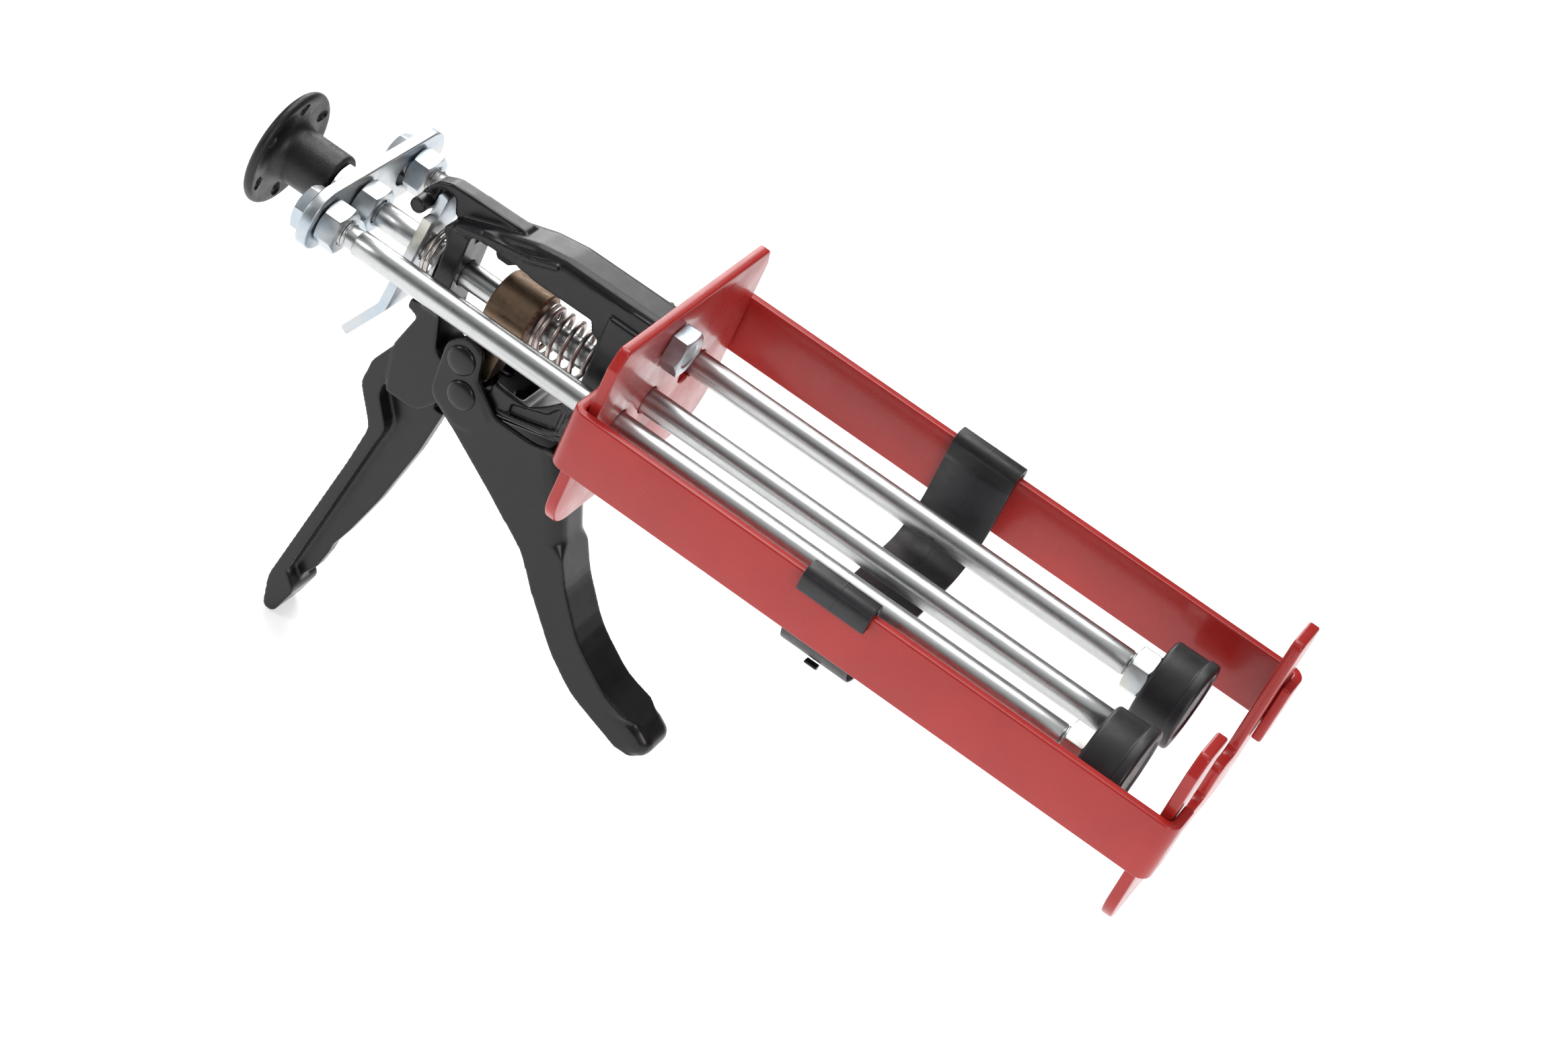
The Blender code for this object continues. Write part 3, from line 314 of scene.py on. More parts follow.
@dataclass(frozen=True)
class CastPaint(Finish):
    """Satin black paint over a casting or pressing."""

    grain: float = 30e-6

    def build(self, kit: NodeKit) -> bpy.types.Material:
        """Wire a cast grain, soft waves and edges painted lighter as a painted edge highlight.

        Args:
            kit: the material's nodes.

        Returns:
            The wired material.
        """
        drift = kit.ramp(kit.noise(45), [(0.3, self.shade(0.8)), (0.7, self.shade(1.25))])
        # edges painted lighter from pointiness: a painted edge highlight
        edge_wear_and_highlight = kit.spread(kit.edges(), 0, 0.5, 0.53, 0.64)
        kit.link(kit.mix(edge_wear_and_highlight, drift, self.shade(2.6)), "Base Color")
        kit.link(kit.spread(kit.noise(220), 0.26, 0.36), "Roughness")
        kit.fixed(Coat_Weight=0.1, Coat_Roughness=0.2, Specular_IOR_Level=0.36)
        kit.bump((kit.noise(70, 2), 3 * self.grain), (kit.noise(900, 2), self.grain * 0.4))
        return kit.material


@dataclass(frozen=True)
class Moulding(Finish):
    """Moulded black plastic with a fine or leathery grain."""

    grain: Grain = Grain.FINE
    fine_depth: float = 6e-6
    leather_depth: float = 34e-6

    def build(self, kit: NodeKit) -> bpy.types.Material:
        """Wire the grain and slight rubbing on the edges.

        Args:
            kit: the material's nodes.

        Returns:
            The wired material.
        """
        drift = kit.ramp(kit.noise(60), [(0.3, self.shade(0.85)), (0.7, self.shade(1.2))])
        edge_wear_and_highlight = kit.spread(kit.edges(), 0, 0.6, 0.52, 0.62)
        kit.link(kit.mix(edge_wear_and_highlight, drift, self.shade(3)), "Base Color")
        kit.link(kit.spread(kit.noise(300), 0.36, 0.5), "Roughness")
        height = self.leather_depth if self.grain is Grain.LEATHER else self.fine_depth
        pebbles, pores = kit.cells(self.grain.value), kit.noise(self.grain.value * 1.6, 2)
        kit.bump((pebbles, height), (pores, height * 0.6))
        return kit.material


@dataclass(frozen=True)
class ZincPlate(Finish):
    """Bright zinc plate with faint blue and yellow passivation."""

    def build(self, kit: NodeKit) -> bpy.types.Material:
        """Wire the passivation colours, tumbling marks and haze.

        Args:
            kit: the material's nodes.

        Returns:
            The wired material.
        """
        blue, yellow = (0.42, 0.5, 0.565), (0.57, 0.56, 0.48)
        tint = kit.ramp(kit.noise(55), [(0.3, blue), (0.5, self.color), (0.72, yellow)])
        kit.link(tint, "Base Color")
        kit.link(kit.spread(kit.noise(420), 0.28, 0.4), "Roughness")
        kit.fixed(Metallic=1)
        kit.bump((kit.noise(150, 1), 4e-6), (kit.noise(1600, 3), 1.6e-6))
        return kit.material


@dataclass(frozen=True)
class DrawnSteel(Finish):
    """Zinc-plated drawn bar with streaks along it and mottled plating."""

    def build(self, kit: NodeKit) -> bpy.types.Material:
        """Wire lengthwise streaks and a speckled, galvanised mottle.

        Args:
            kit: the material's nodes.

        Returns:
            The wired material.
        """
        streak = kit.noise(700, 2, (0.03, 1, 1))
        mottle = kit.noise(900, 3, (0.5, 1, 1), 0.6)
        base = kit.ramp(streak, [(0.3, self.shade(0.88)), (0.55, self.color), (0.75, self.shade(1.1))])
        kit.link(kit.mix(kit.spread(mottle, 0, 0.16, 0.52, 0.7), base, self.shade(0.6)), "Base Color")
        kit.link(kit.spread(mottle, 0.27, 0.36), "Roughness")
        kit.fixed(Metallic=1)
        kit.bump((streak, 0.8e-6), (mottle, 0.3e-6))
        return kit.material


@dataclass(frozen=True)
class Bronze(Finish):
    """Dull sintered bronze, open-grained and browned."""

    rubbed: Color = (0.4, 0.27, 0.18)

    def build(self, kit: NodeKit) -> bpy.types.Material:
        """Wire brown mottling, pores and rubbed edges.

        Args:
            kit: the material's nodes.

        Returns:
            The wired material.
        """
        stops = [(0.3, self.shade(0.6)), (0.6, self.color), (0.8, self.shade(1.5))]
        base, edge_wear_and_highlight = kit.ramp(kit.noise(260, 4), stops), kit.spread(kit.edges(), 0, 0.7, 0.52, 0.6)
        kit.link(kit.mix(edge_wear_and_highlight, base, self.rubbed), "Base Color")
        kit.link(kit.spread(kit.noise(700), 0.36, 0.55), "Roughness")
        kit.fixed(Metallic=0.95)
        kit.bump((kit.noise(2200, 2), 5e-6), (kit.noise(500, 2, (1, 0.2, 0.2)), 4e-6))
        return kit.material


@dataclass(frozen=True)
class SpringWire(Finish):
    """Bright drawn wire, slightly browned by heat."""

    def build(self, kit: NodeKit) -> bpy.types.Material:
        """Wire a heat tint and draw marks.

        Args:
            kit: the material's nodes.

        Returns:
            The wired material.
        """
        tint = kit.ramp(kit.noise(180), [(0.3, self.shade(0.8)), (0.7, self.shade(1.2))])
        kit.link(tint, "Base Color")
        kit.link(kit.spread(kit.noise(900), 0.3, 0.4), "Roughness")
        kit.fixed(Metallic=1)
        kit.bump((kit.noise(1500, 2), 0.4e-6))
        return kit.material


@dataclass(frozen=True)
class PaleFloor(Finish):
    """Plain pale studio floor, lit a little from beneath."""

    glow: float = 0.5

    def build(self, kit: NodeKit) -> bpy.types.Material:
        """Wire a barely uneven matt surface.

        Args:
            kit: the material's nodes.

        Returns:
            The wired material.
        """
        kit.link(kit.ramp(kit.noise(3), [(0.3, self.shade(0.985)), (0.7, self.color)]), "Base Color")
        kit.fixed(Roughness=0.9, Specular_IOR_Level=0.1)
        kit.fixed(Emission_Color=(1, 1, 1, 1), Emission_Strength=self.glow)
        return kit.material


RED = PowderCoat("red_powder_coat", "red_coat", (0.42, 0.019, 0.016))
CAST = CastPaint("black_cast_paint", "black_coat", (0.006, 0.0056, 0.0072))
PRESSED = CastPaint("black_pressed_paint", "black_coat", (0.0065, 0.0062, 0.0076), 9e-6)
PLASTIC = Moulding("black_plastic_smooth", "black_plastic", (0.011, 0.011, 0.013))
LEATHERY = Moulding("black_plastic_leathery", "black_plastic", (0.006, 0.0057, 0.007), Grain.LEATHER)
ZINC = ZincPlate("zinc_plate_bright", "zinc_plate", (0.5, 0.52, 0.535))
STEEL = DrawnSteel("drawn_rod_zinc", "bright_rod", (0.54, 0.55, 0.55))
BRONZE = Bronze("sintered_bronze", "bronze", (0.115, 0.084, 0.056))
WIRE = SpringWire("spring_wire", "spring_steel", (0.5, 0.455, 0.43))
FLOOR = PaleFloor("pale_floor", "", (0.93, 0.93, 0.93))


# ---------------------------------------------------------------- shapes
def metres(points: Sequence[Point2]) -> list[Point2]:
    """Points given in millimetres, turned into metres."""
    return [(u * MM, v * MM) for u, v in points]


def add_object(name: str, data: bpy.types.ID) -> bpy.types.Object:
    """Put a new object in the scene.

    Args:
        name: the object's name.
        data: its mesh, camera or lamp.

    Returns:
        The object.
    """
    item = bpy.data.objects.new(name, data)
    bpy.context.scene.collection.objects.link(item)
    return item


def rounded(corners: Sequence[Corner], step: float = 6.0) -> list[Point2]:
    """Closed outline whose corners are arcs.

    Args:
        corners: (u, v, radius) in millimetres, in order.
        step: degrees of arc for each short side.

    Returns:
        The outline's points in metres.
    """
    outline: list[Point2] = []
    for index, (u, v, radius) in enumerate(corners):
        here = Vector((u, v))
        before = Vector(corners[index - 1][:2]) - here
        after = Vector(corners[(index + 1) % len(corners)][:2]) - here
        turn = before.angle(after)
        if radius <= 0 or turn > math.radians(178):
            outline.append((u * MM, v * MM))
            continue
        reach = min(radius / math.tan(turn / 2), 0.49 * before.length, 0.49 * after.length)
        radius = reach * math.tan(turn / 2)
        before.normalize()
        after.normalize()
        centre = here + (before + after).normalized() * (radius / math.sin(turn / 2))
        start, end = here + before * reach - centre, here + after * reach - centre
        first = math.atan2(start.y, start.x)
        sweep = (math.atan2(end.y, end.x) - first + math.pi) % TURN - math.pi
        count = max(2, round(abs(math.degrees(sweep)) / step))
        for part in range(count + 1):
            angle = first + sweep * part / count
            outline.append(((centre.x + radius * math.cos(angle)) * MM,
                            (centre.y + radius * math.sin(angle)) * MM))
    return outline


def ring(u: float, v: float, radius: float, count: int = 64) -> list[Point2]:
    """Circle of points, all in metres."""
    angles = [TURN * i / count for i in range(count)]
    return [(u + radius * math.cos(angle), v + radius * math.sin(angle)) for angle in angles]


def area(loop: Sequence[Point2]) -> float:
    """Signed area of a closed outline; positive runs anticlockwise."""
    return sum(a[0] * b[1] - b[0] * a[1] for a, b in zip(loop, [*loop[1:], loop[0]])) / 2


def inset(loop: Sequence[Point2], distance: float) -> list[Point2]:
    """Move a closed anticlockwise outline inwards, corner by corner.

    Args:
        loop: the outline.
        distance: how far it moves; outwards when negative.

    Returns:
        The moved outline.
    """
    moved: list[Point2] = []
    for index, point in enumerate(loop):
        here = Vector(point)
        entry = (here - Vector(loop[index - 1])).normalized()
        leave = (Vector(loop[(index + 1) % len(loop)]) - here).normalized()
        first, second = Vector((-entry.y, entry.x)), Vector((-leave.y, leave.x))
        shift = (first + second) / max(0.35, 1 + first.dot(second))
        moved.append(tuple(here + shift * distance))
    return moved


def finish_mesh(shape: bmesh.types.BMesh, name: str, sharp: float = 32.0) -> bpy.types.Mesh:
    """Turn a bmesh into a smooth-shaded mesh with true edges kept sharp.

    Args:
        shape: the bmesh, which is used up.
        name: the mesh's name.
        sharp: angle over which an edge stays sharp, in degrees.

    Returns:
        The mesh.
    """
    bmesh.ops.remove_doubles(shape, verts=shape.verts, dist=2e-7)
    bmesh.ops.recalc_face_normals(shape, faces=shape.faces)
    mesh = bpy.data.meshes.new(name)
    shape.to_mesh(mesh)
    shape.free()
    mesh.shade_smooth()
    mesh.set_sharp_from_angle(angle=math.radians(sharp))
    return mesh


def join_loops(shape: bmesh.types.BMesh, loops: Sequence[Sequence[bmesh.types.BMVert]]) -> None:
    """Skin a row of closed loops that have as many points each.

    Args:
        shape: the bmesh that holds the points.
        loops: the loops, in order.
    """
    for first, second in zip(loops, loops[1:]):
        for i in range(len(first)):
            j = (i + 1) % len(first)
            shape.faces.new((first[i], first[j], second[j], second[i]))


def bar(shape: bmesh.types.BMesh, loops: Sequence[Sequence[bmesh.types.BMVert]], name: str, sharp: float
        ) -> bpy.types.Mesh:
    """Solid bar skinned over a row of loops and closed at both ends.

    Args:
        shape: the bmesh that holds the points.
        loops: the loops, in order.
        name: the mesh's name.
        sharp: angle over which an edge stays sharp, in degrees.

    Returns:
        The closed mesh.
    """
    join_loops(shape, loops)
    shape.faces.new(loops[0])
    shape.faces.new(loops[-1])
    return finish_mesh(shape, name, sharp)


def slab(name: str, outer: Sequence[Point2], holes: Sequence[Sequence[Point2]], plane: Plane, low: float,
         high: float, edge: float, steps: int = 3) -> bpy.types.Mesh:
    """Flat part with rounded edges all round, holes included.

    Args:
        name: the mesh's name.
        outer: outline of the part.
        holes: outlines of its holes.
        plane: plane the outlines are drawn in.
        low: where the slab starts along its normal.
        high: where it ends.
        edge: radius of the rounded edges.
        steps: sides for each rounded edge.

    Returns:
        The closed mesh.
    """
    shape = bmesh.new()
    caps: dict[int, list[bmesh.types.BMEdge]] = {0: [], 1: []}
    for loop, is_hole in [(outer, False), *((hole, True) for hole in holes)]:
        loop = list(loop) if area(loop) > 0 else list(reversed(loop))
        rows = []
        for side, face in ((0, low), (1, high)):
            inward = edge if side == 0 else -edge
            angles = [math.pi / 2 * i / steps for i in range(steps + 1)]
            if side == 1:
                angles.reverse()
            for angle in angles:
                pulled = edge * (1 - math.sin(angle))
                depth = face + inward * (1 - math.cos(angle))
                points = inset(loop, -pulled if is_hole else pulled)
                rows.append([shape.verts.new(plane.place(u, v, depth)) for u, v in points])
        join_loops(shape, rows)
        for side, row in ((0, rows[0]), (1, rows[-1])):
            caps[side] += [shape.edges.get((row[i], row[(i + 1) % len(row)])) for i in range(len(row))]
    for edges in caps.values():
        bmesh.ops.triangle_fill(shape, use_beauty=True, edges=edges)
    return finish_mesh(shape, name)


def revolve(name: str, profile: Sequence[Point2], matrix: Matrix, steps: int = 72,
            sharp: float = 32.0) -> bpy.types.Mesh:
    """Turn a (radius, height) profile round the Z axis of a matrix.

    Args:
        name: the mesh's name.
        profile: points from one end to the other; a radius of 0 closes the end.
        matrix: where the turning axis lies.
        steps: sides round the axis.
        sharp: angle over which an edge stays sharp, in degrees.

    Returns:
        The mesh.
    """
    shape = bmesh.new()
    rows = []
    for radius, height in profile:
        if radius < 1e-9:
            rows.append([shape.verts.new(matrix @ Vector((0, 0, height)))])
            continue
        rows.append([shape.verts.new(matrix @ Vector((u, v, height)))
                     for u, v in ring(0, 0, radius, steps)])
    if len(rows[0]) > 1 and len(rows[-1]) > 1:
        rows.append(rows[0])
    for first, second in zip(rows, rows[1:]):
        for i in range(steps):
            j = (i + 1) % steps
            corners = (first[i % len(first)], first[j % len(first)],
                       second[j % len(second)], second[i % len(second)])
            corners = list(dict.fromkeys(corners))
            if len(corners) > 2:
                shape.faces.new(corners)
    return finish_mesh(shape, name, sharp)


def arc(centre: Point2, radius: float, start: float, end: float, count: int = 8) -> list[Point2]:
    """Points on an arc from a start to an end angle in degrees."""
    angles = [math.radians(start + (end - start) * i / count) for i in range(count + 1)]
    return [(centre[0] + radius * math.cos(a), centre[1] + radius * math.sin(a)) for a in angles]


def facing_x(x: float, y: float, z: float = 0.0, turn: float = 0.0) -> Matrix:
    """Matrix whose Z axis runs along +X from a point, turned about itself in degrees."""
    spin = Matrix.Rotation(math.radians(turn), 4, "Z")
    return Matrix.Translation((x, y, z)) @ Matrix.Rotation(math.pi / 2, 4, "Y") @ spin


def facing_y(x: float, y: float, z: float) -> Matrix:
    """Matrix whose Z axis runs along +Y from a point."""
    return Matrix.Translation((x, y, z)) @ Matrix.Rotation(-math.pi / 2, 4, "X")


def combine(mesh: bpy.types.Mesh, operation: str, *others: bpy.types.Mesh,
            sharp: float = 32.0) -> bpy.types.Mesh:
    """Exact Boolean of meshes.

    Args:
        mesh: the mesh to work on.
        operation: DIFFERENCE, UNION or INTERSECT.
        others: the meshes to combine with it, one after another.
        sharp: angle over which an edge stays sharp, in degrees.

    Returns:
        The new mesh.
    """
    target = add_object("work", mesh)
    tools = []
    for other in others:
        tool = add_object("tool", other)
        modifier = target.modifiers.new("cut", "BOOLEAN")
        modifier.operation = operation
        modifier.object = tool
        modifier.solver = "EXACT"
        tools.append(tool)
    return bake(target, mesh.name, tools, sharp)


def bake(target: bpy.types.Object, name: str, tools: Sequence[bpy.types.Object] = (), sharp: float = 32.0
         ) -> bpy.types.Mesh:
    """Apply an object's modifiers and remove the object.

    Args:
        target: the object.
        name: the new mesh's name.
        tools: other objects to remove.
        sharp: angle over which an edge stays sharp, in degrees.

    Returns:
        The new mesh.
    """
    bpy.context.view_layer.update()
    result = bpy.data.meshes.new_from_object(target.evaluated_get(bpy.context.evaluated_depsgraph_get()))
    for item in (target, *tools):
        bpy.data.objects.remove(item, do_unlink=True)
    result.name = name
    result.shade_smooth()
    result.set_sharp_from_angle(angle=math.radians(sharp))
    return result


def soften(meshes: Sequence[bpy.types.Mesh], name: str, voxel: float, rounds: int) -> bpy.types.Mesh:
    """Merge overlapping meshes into one skin of small even faces, its edges rounded off.

    Args:
        meshes: closed meshes that overlap.
        name: the new mesh's name.
        voxel: size of the small faces.
        rounds: how often to smooth.

    Returns:
        The softened mesh.
    """
    shape = bmesh.new()
    for mesh in meshes:
        shape.from_mesh(mesh)
    joined = bpy.data.meshes.new(name)
    shape.to_mesh(joined)
    shape.free()
    work = add_object("work", joined)
    remesh = work.modifiers.new("even", "REMESH")
    remesh.mode = "VOXEL"
    remesh.voxel_size = voxel
    remesh.use_smooth_shade = True
    smooth = work.modifiers.new("smooth", "SMOOTH")
    smooth.factor = 0.5
    smooth.iterations = rounds
    return bake(work, name, sharp=80)


def cad_mesh(node: str) -> bpy.types.Mesh:
    """Copy a CAD node's mesh, its corners joined up into one closed skin.

    Args:
        node: the CAD node's name.

    Returns:
        The copy.
    """
    shape = bmesh.new()
    shape.from_mesh(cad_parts[node].data)
    return finish_mesh(shape, node)


def publish(name: str, mesh: bpy.types.Mesh, body: Body, finish: Finish, *nodes: str) -> bpy.types.Object:
    """Put a piece in the scene.

    Args:
        name: the piece's name.
        mesh: its mesh, in the frame's coordinates.
        body: the group it moves with.
        finish: its finish.
        nodes: the CAD nodes it stands for.

    Returns:
        The piece.
    """
    piece = add_object(name, mesh)
    mesh.materials.clear()
    mesh.materials.append(finish.material())
    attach(piece, body.value)
    if nodes:
        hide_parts(*nodes)
    LOG.info("%s: %d faces on %s", name, len(mesh.polygons), body.value)
    return piece


def keyhole(y: float, step: float, radius: float) -> list[Point2]:
    """Outline of two overlapping holes, the second one a step towards lower Y.

    Args:
        y: first hole's Y in metres.
        step: distance between the holes in millimetres.
        radius: radius of both in millimetres.

    Returns:
        The outline in metres.
    """
    half = math.degrees(math.acos(step / 2 / radius))
    first = arc((y, 0), radius * MM, -180 + half, 180 - half, 40)
    return first + arc((y - step * MM, 0), radius * MM, half, 360 - half, 40)


def centre(node: str) -> Vector:
    """Middle of a CAD node's box."""
    low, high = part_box(node)
    return (Vector(low) + Vector(high)) / 2


# ---------------------------------------------------------------- cradle
@dataclass
class Cradle:
    """The two end plates and the strap bent round them; sizes in millimetres."""

    edge: float = 0.7
    strap_edge: float = 0.6
    hole: float = 4.5
    bolt_hole: float = 4.3
    top_chamfer: float = 6.0
    top_radius: float = 2.0
    bottom_radius: float = 13.0
    slot_width: float = 53.0
    slot_shoulder: float = -9.0
    neck_width: float = 34.0
    slot_bottom: float = -21.0
    strap: float = 3.0
    bend: float = 4.5
    tab: float = 13.0
    spare_step: float = SPARE_STEP

    def rod_holes(self) -> list[Point2]:
        """Y and Z of the four rod holes, in metres."""
        ys = [centre(f"{name}_rod").y for name in ("right", "drive", "left")]
        return [(y, 0.0) for y in (*ys, ys[2] - self.spare_step * MM)]

    def plate(self, node: str, cuts: Sequence[Corner]) -> list[Point2]:
        """Outline of an end plate from its box, with a cut down from its top edge.

        Args:
            node: the CAD node whose box gives the outline.
            cuts: corners of the cut, in millimetres, from left to right.

        Returns:
            The outline in metres.
        """
        low, high = (Vector(corner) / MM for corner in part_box(node))
        drop = self.top_chamfer
        return rounded([
            (low.y, low.z, self.bottom_radius), (high.y, low.z, self.bottom_radius),
            (high.y, high.z - drop, self.top_radius), (high.y - drop / 2, high.z, self.top_radius), *cuts,
            (low.y + drop / 2, high.z, self.top_radius), (low.y, high.z - drop, self.top_radius),
        ])

    def rear_plate(self) -> None:
        """Plate with the rod and bolt holes, the left rod's a keyhole."""
        low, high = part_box("rear_plate")
        holes = [ring(y, z, self.hole * MM) for y, z in self.rod_holes()[:2]]
        holes.append(keyhole(self.rod_holes()[2][0], self.spare_step, self.hole))
        for node in ("upper_frame_bolt", "lower_frame_bolt"):
            holes.append(ring(centre(node).y, centre(node).z, self.bolt_hole * MM))
        mesh = slab("rear_plate_coated", self.plate("rear_plate", ()), holes, Plane.YZ, low[0], high[0],
                    self.edge * MM)
        publish("rear_plate_coated", mesh, Body.FRAME, RED, "rear_plate")

    def front_plate(self) -> None:
        """Plate with the stepped slot for the cartridges' outlet."""
        low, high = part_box("front_plate")
        half, neck, top = self.slot_width / 2, self.neck_width / 2, high[2] / MM
        cut = [(half, top, 2.5), (half, self.slot_shoulder, 3), (neck, self.slot_shoulder, 2.5),
               (neck, self.slot_bottom, 3)]
        cuts = cut + [(-y, z, radius) for y, z, radius in reversed(cut)]
        mesh = slab("front_plate_coated", self.plate("front_plate", cuts), (), Plane.YZ, low[0], high[0],
                    self.edge * MM)
        publish("front_plate_coated", mesh, Body.FRAME, RED, "front_plate")

    def strap_piece(self) -> None:
        """Flat strip bent round the cradle, its ends folded over the front plate."""
        low, high = (Vector(corner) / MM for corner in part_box("cradle_strap"))
        wall, outer, inner = self.strap, self.bend, self.bend - self.strap
        right, left, back, front = low.y, high.y, low.x, high.x
        outline = rounded([
            (front, right, outer), (front, right + self.tab, 0.8), (front - wall, right + self.tab, 0.6),
            (front - wall, right + wall, inner), (back + wall, right + wall, inner),
            (back + wall, left - wall, inner), (front - wall, left - wall, inner),
            (front - wall, left - self.tab, 0.6), (front, left - self.tab, 0.8), (front, left, outer),
            (back, left, outer), (back, right, outer),
        ])
        mesh = slab("cradle_strap_coated", outline, (), Plane.XY, low.z * MM, high.z * MM,
                    self.strap_edge * MM)
        drill = metres([(0, 0), (self.hole, 0), (self.hole, 8), (0, 8)])
        drills = [revolve("drill", drill, facing_x((back - 2) * MM, y), 48) for y, _ in self.rod_holes()]
        mesh = combine(mesh, "DIFFERENCE", *drills)
        publish("cradle_strap_coated", mesh, Body.FRAME, RED, "cradle_strap")

    def build(self) -> None:
        """Make the cradle's three pieces."""
        self.rear_plate()
        self.front_plate()
        self.strap_piece()


@dataclass
class Saddle:
    """Plastic sling clipped over both rails; sizes in millimetres."""

    wall: float = 1.6
    roll: float = 4.2
    corner: float = 17.0
    gap: float = 0.3
    rail: float = 3.0
    rail_top: float = 13.0
    lip: float = 4.5
    edge: float = 0.3
    flash: float = 0.07
    flash_half: float = 0.2
    stub_place: float = 10.0
    stub_half: float = 2.0

    def outline(self) -> list[Point2]:
        """Draw the sling's section across the cradle.

        Returns:
            The outline in metres.
        """
        low, high = (Vector(corner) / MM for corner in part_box("cartridge_saddle"))
        middle, rail = (low.y + high.y) / 2, (high.y - low.y) / 2 - self.roll
        hug, bottom, lip = self.rail / 2 + self.gap, low.z, self.rail_top - self.lip
        top = self.rail_top + self.roll - 1
        hook = [
            (rail - hug - self.wall, bottom + self.wall, self.corner),
            (rail - hug - self.wall, lip - 1.5, 2), (rail - self.roll, lip + 0.5, 1.5),
            (rail - self.roll, top, self.roll), (rail + self.roll, top, self.roll),
            (rail + self.roll, lip, 0.9), (rail + hug, lip, 0.5),
            (rail + hug, self.rail_top + hug, hug), (rail - hug, self.rail_top + hug, hug),
            (rail - hug, bottom, self.corner + self.wall),
        ]
        left = [(middle + distance, z, radius) for distance, z, radius in hook]
        right = [(middle - distance, z, radius) for distance, z, radius in reversed(hook)]
        return rounded(left + right, 5)

    def build(self) -> None:
        """Make the sling with its parting line and the small gate stub under the right rail."""
        low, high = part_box("cartridge_saddle")
        middle, outline = (low[0] + high[0]) / 2, self.outline()
        outline = outline if area(outline) > 0 else outline[::-1]
        sling = slab("cartridge_saddle_moulded", outline, (), Plane.YZ, low[0], high[0], self.edge * MM)
        half = self.flash_half * MM
        flash = slab("flash", inset(outline, -self.flash * MM), (), Plane.YZ, middle - half, middle + half,
                     self.flash * MM, 2)
        near, under, half = low[1] / MM + self.stub_place, low[2] / MM, self.stub_half * MM
        gate = rounded([(near, under + 3, 0.5), (near + 4, under + 0.2, 0.5), (near + 4, under + 2.5, 0.5)])
        stub = slab("stub", gate, (), Plane.YZ, middle - half, middle + half, 0.2 * MM)
        mesh = combine(sling, "UNION", flash, stub)
        publish("cartridge_saddle_moulded", mesh, Body.SADDLE, PLASTIC, "cartridge_saddle")


# ---------------------------------------------------------------- rods and fasteners
@dataclass
class Fastener:
    """Hexagon shared by nuts and bolt heads; sizes in millimetres."""

    flats: float = 13.0
    chamfer: float = 0.62
    bore: float = 3.95
    sink: float = 0.6
    face: float = 0.985
    lip: float = 0.05
    lip_width: float = 0.15
    clear: float = 1.05
    corner_radius: float = 0.25
    head: float = 5.3
    dish_radius: float = 3.4
    dish_rim: float = 4.2
    dish_depth: float = 0.35
    shank: float = 4.0
    shank_tip: float = 0.5

    def hexagon(self, name: str, height: float, matrix: Matrix, both: bool = True) -> bpy.types.Mesh:
        """Hexagonal prism with its corners turned off.

        Args:
            name: the mesh's name.
            height: its height in metres.
            matrix: its place, with Z along its axis.
            both: chamfer the bottom as well as the top.

        Returns:
            The mesh.
        """
        corner = self.flats / math.sqrt(3) * MM
        flat, drop = self.flats / 2 * MM * self.face, (corner - self.flats / 2 * MM) * self.chamfer
        shape = bmesh.new()
        bmesh.ops.create_cone(shape, cap_ends=True, segments=6, radius1=corner, radius2=corner, depth=height)
        bmesh.ops.translate(shape, vec=(0, 0, height / 2), verts=shape.verts)
        upright = [e for e in shape.edges if abs(e.verts[0].co.z - e.verts[1].co.z) > height / 2]
        bmesh.ops.bevel(shape, geom=upright, offset=self.corner_radius * MM, segments=2, profile=0.5,
                        affect="EDGES")
        bmesh.ops.transform(shape, matrix=matrix, verts=shape.verts)
        prism = finish_mesh(shape, name)
        wide, lip, narrow = corner * self.clear, self.lip * MM, flat - self.lip_width * MM
        slope = (wide - flat) / (corner - flat)
        profile = [(0, height), (narrow, height), (flat, height - lip), (wide, height - drop * slope)]
        if both:
            profile += [(wide, drop * slope), (flat, lip), (narrow, 0), (0, 0)]
        else:
            profile += [(wide, 0), (0, 0)]
        return combine(prism, "INTERSECT", revolve("turned", profile, matrix, 96), sharp=20)

    def nut(self, node: str, turn: float) -> None:
        """Nut in its CAD node's place, bored and countersunk.

        Args:
            node: the CAD node it stands for.
            turn: how far its flats are turned, in degrees.
        """
        low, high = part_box(node)
        height, bore, sink = high[0] - low[0], self.bore * MM, self.sink * MM
        matrix = facing_x(low[0], centre(node).y, 0, turn)
        hexagon = self.hexagon(f"{node}_plated", height, matrix)
        drill = revolve("drill", [(0, -MM), (bore + sink, -MM), (bore + sink, 0), (bore, sink),
                                  (bore, height - sink), (bore + sink, height),
                                  (bore + sink, height + MM), (0, height + MM)], matrix, 48)
        mesh = combine(hexagon, "DIFFERENCE", drill, sharp=20)
        publish(f"{node}_plated", mesh, Body.PUSHER, ZINC, node)

    def bolt(self, node: str, turn: float) -> None:
        """Hex bolt with a dished head and a plain shank.

        Args:
            node: the CAD node it stands for.
            turn: how far its flats are turned, in degrees.
        """
        low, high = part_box(node)
        y, z, height = centre(node).y, centre(node).z, self.head * MM
        matrix = facing_x(high[0] - height, y, z, turn)
        head = self.hexagon(f"{node}_plated", height, matrix, both=False)
        floor, rim = height - self.dish_depth * MM, self.dish_rim * MM
        dish = revolve("dish", [(0, floor), (self.dish_radius * MM, floor), (rim, height + self.lip * MM),
                                (rim, height + MM), (0, height + MM)], matrix, 48)
        length, radius, tip = high[0] - height - low[0], self.shank * MM, self.shank_tip * MM
        shank = revolve("shank", [(0, -length), (radius - tip, -length), (radius, tip - length), (radius, MM),
                                  (0, MM)], matrix, 48)
        mesh = combine(combine(head, "DIFFERENCE", dish), "UNION", shank, sharp=20)
        publish(f"{node}_plated", mesh, Body.FRAME, ZINC, node)


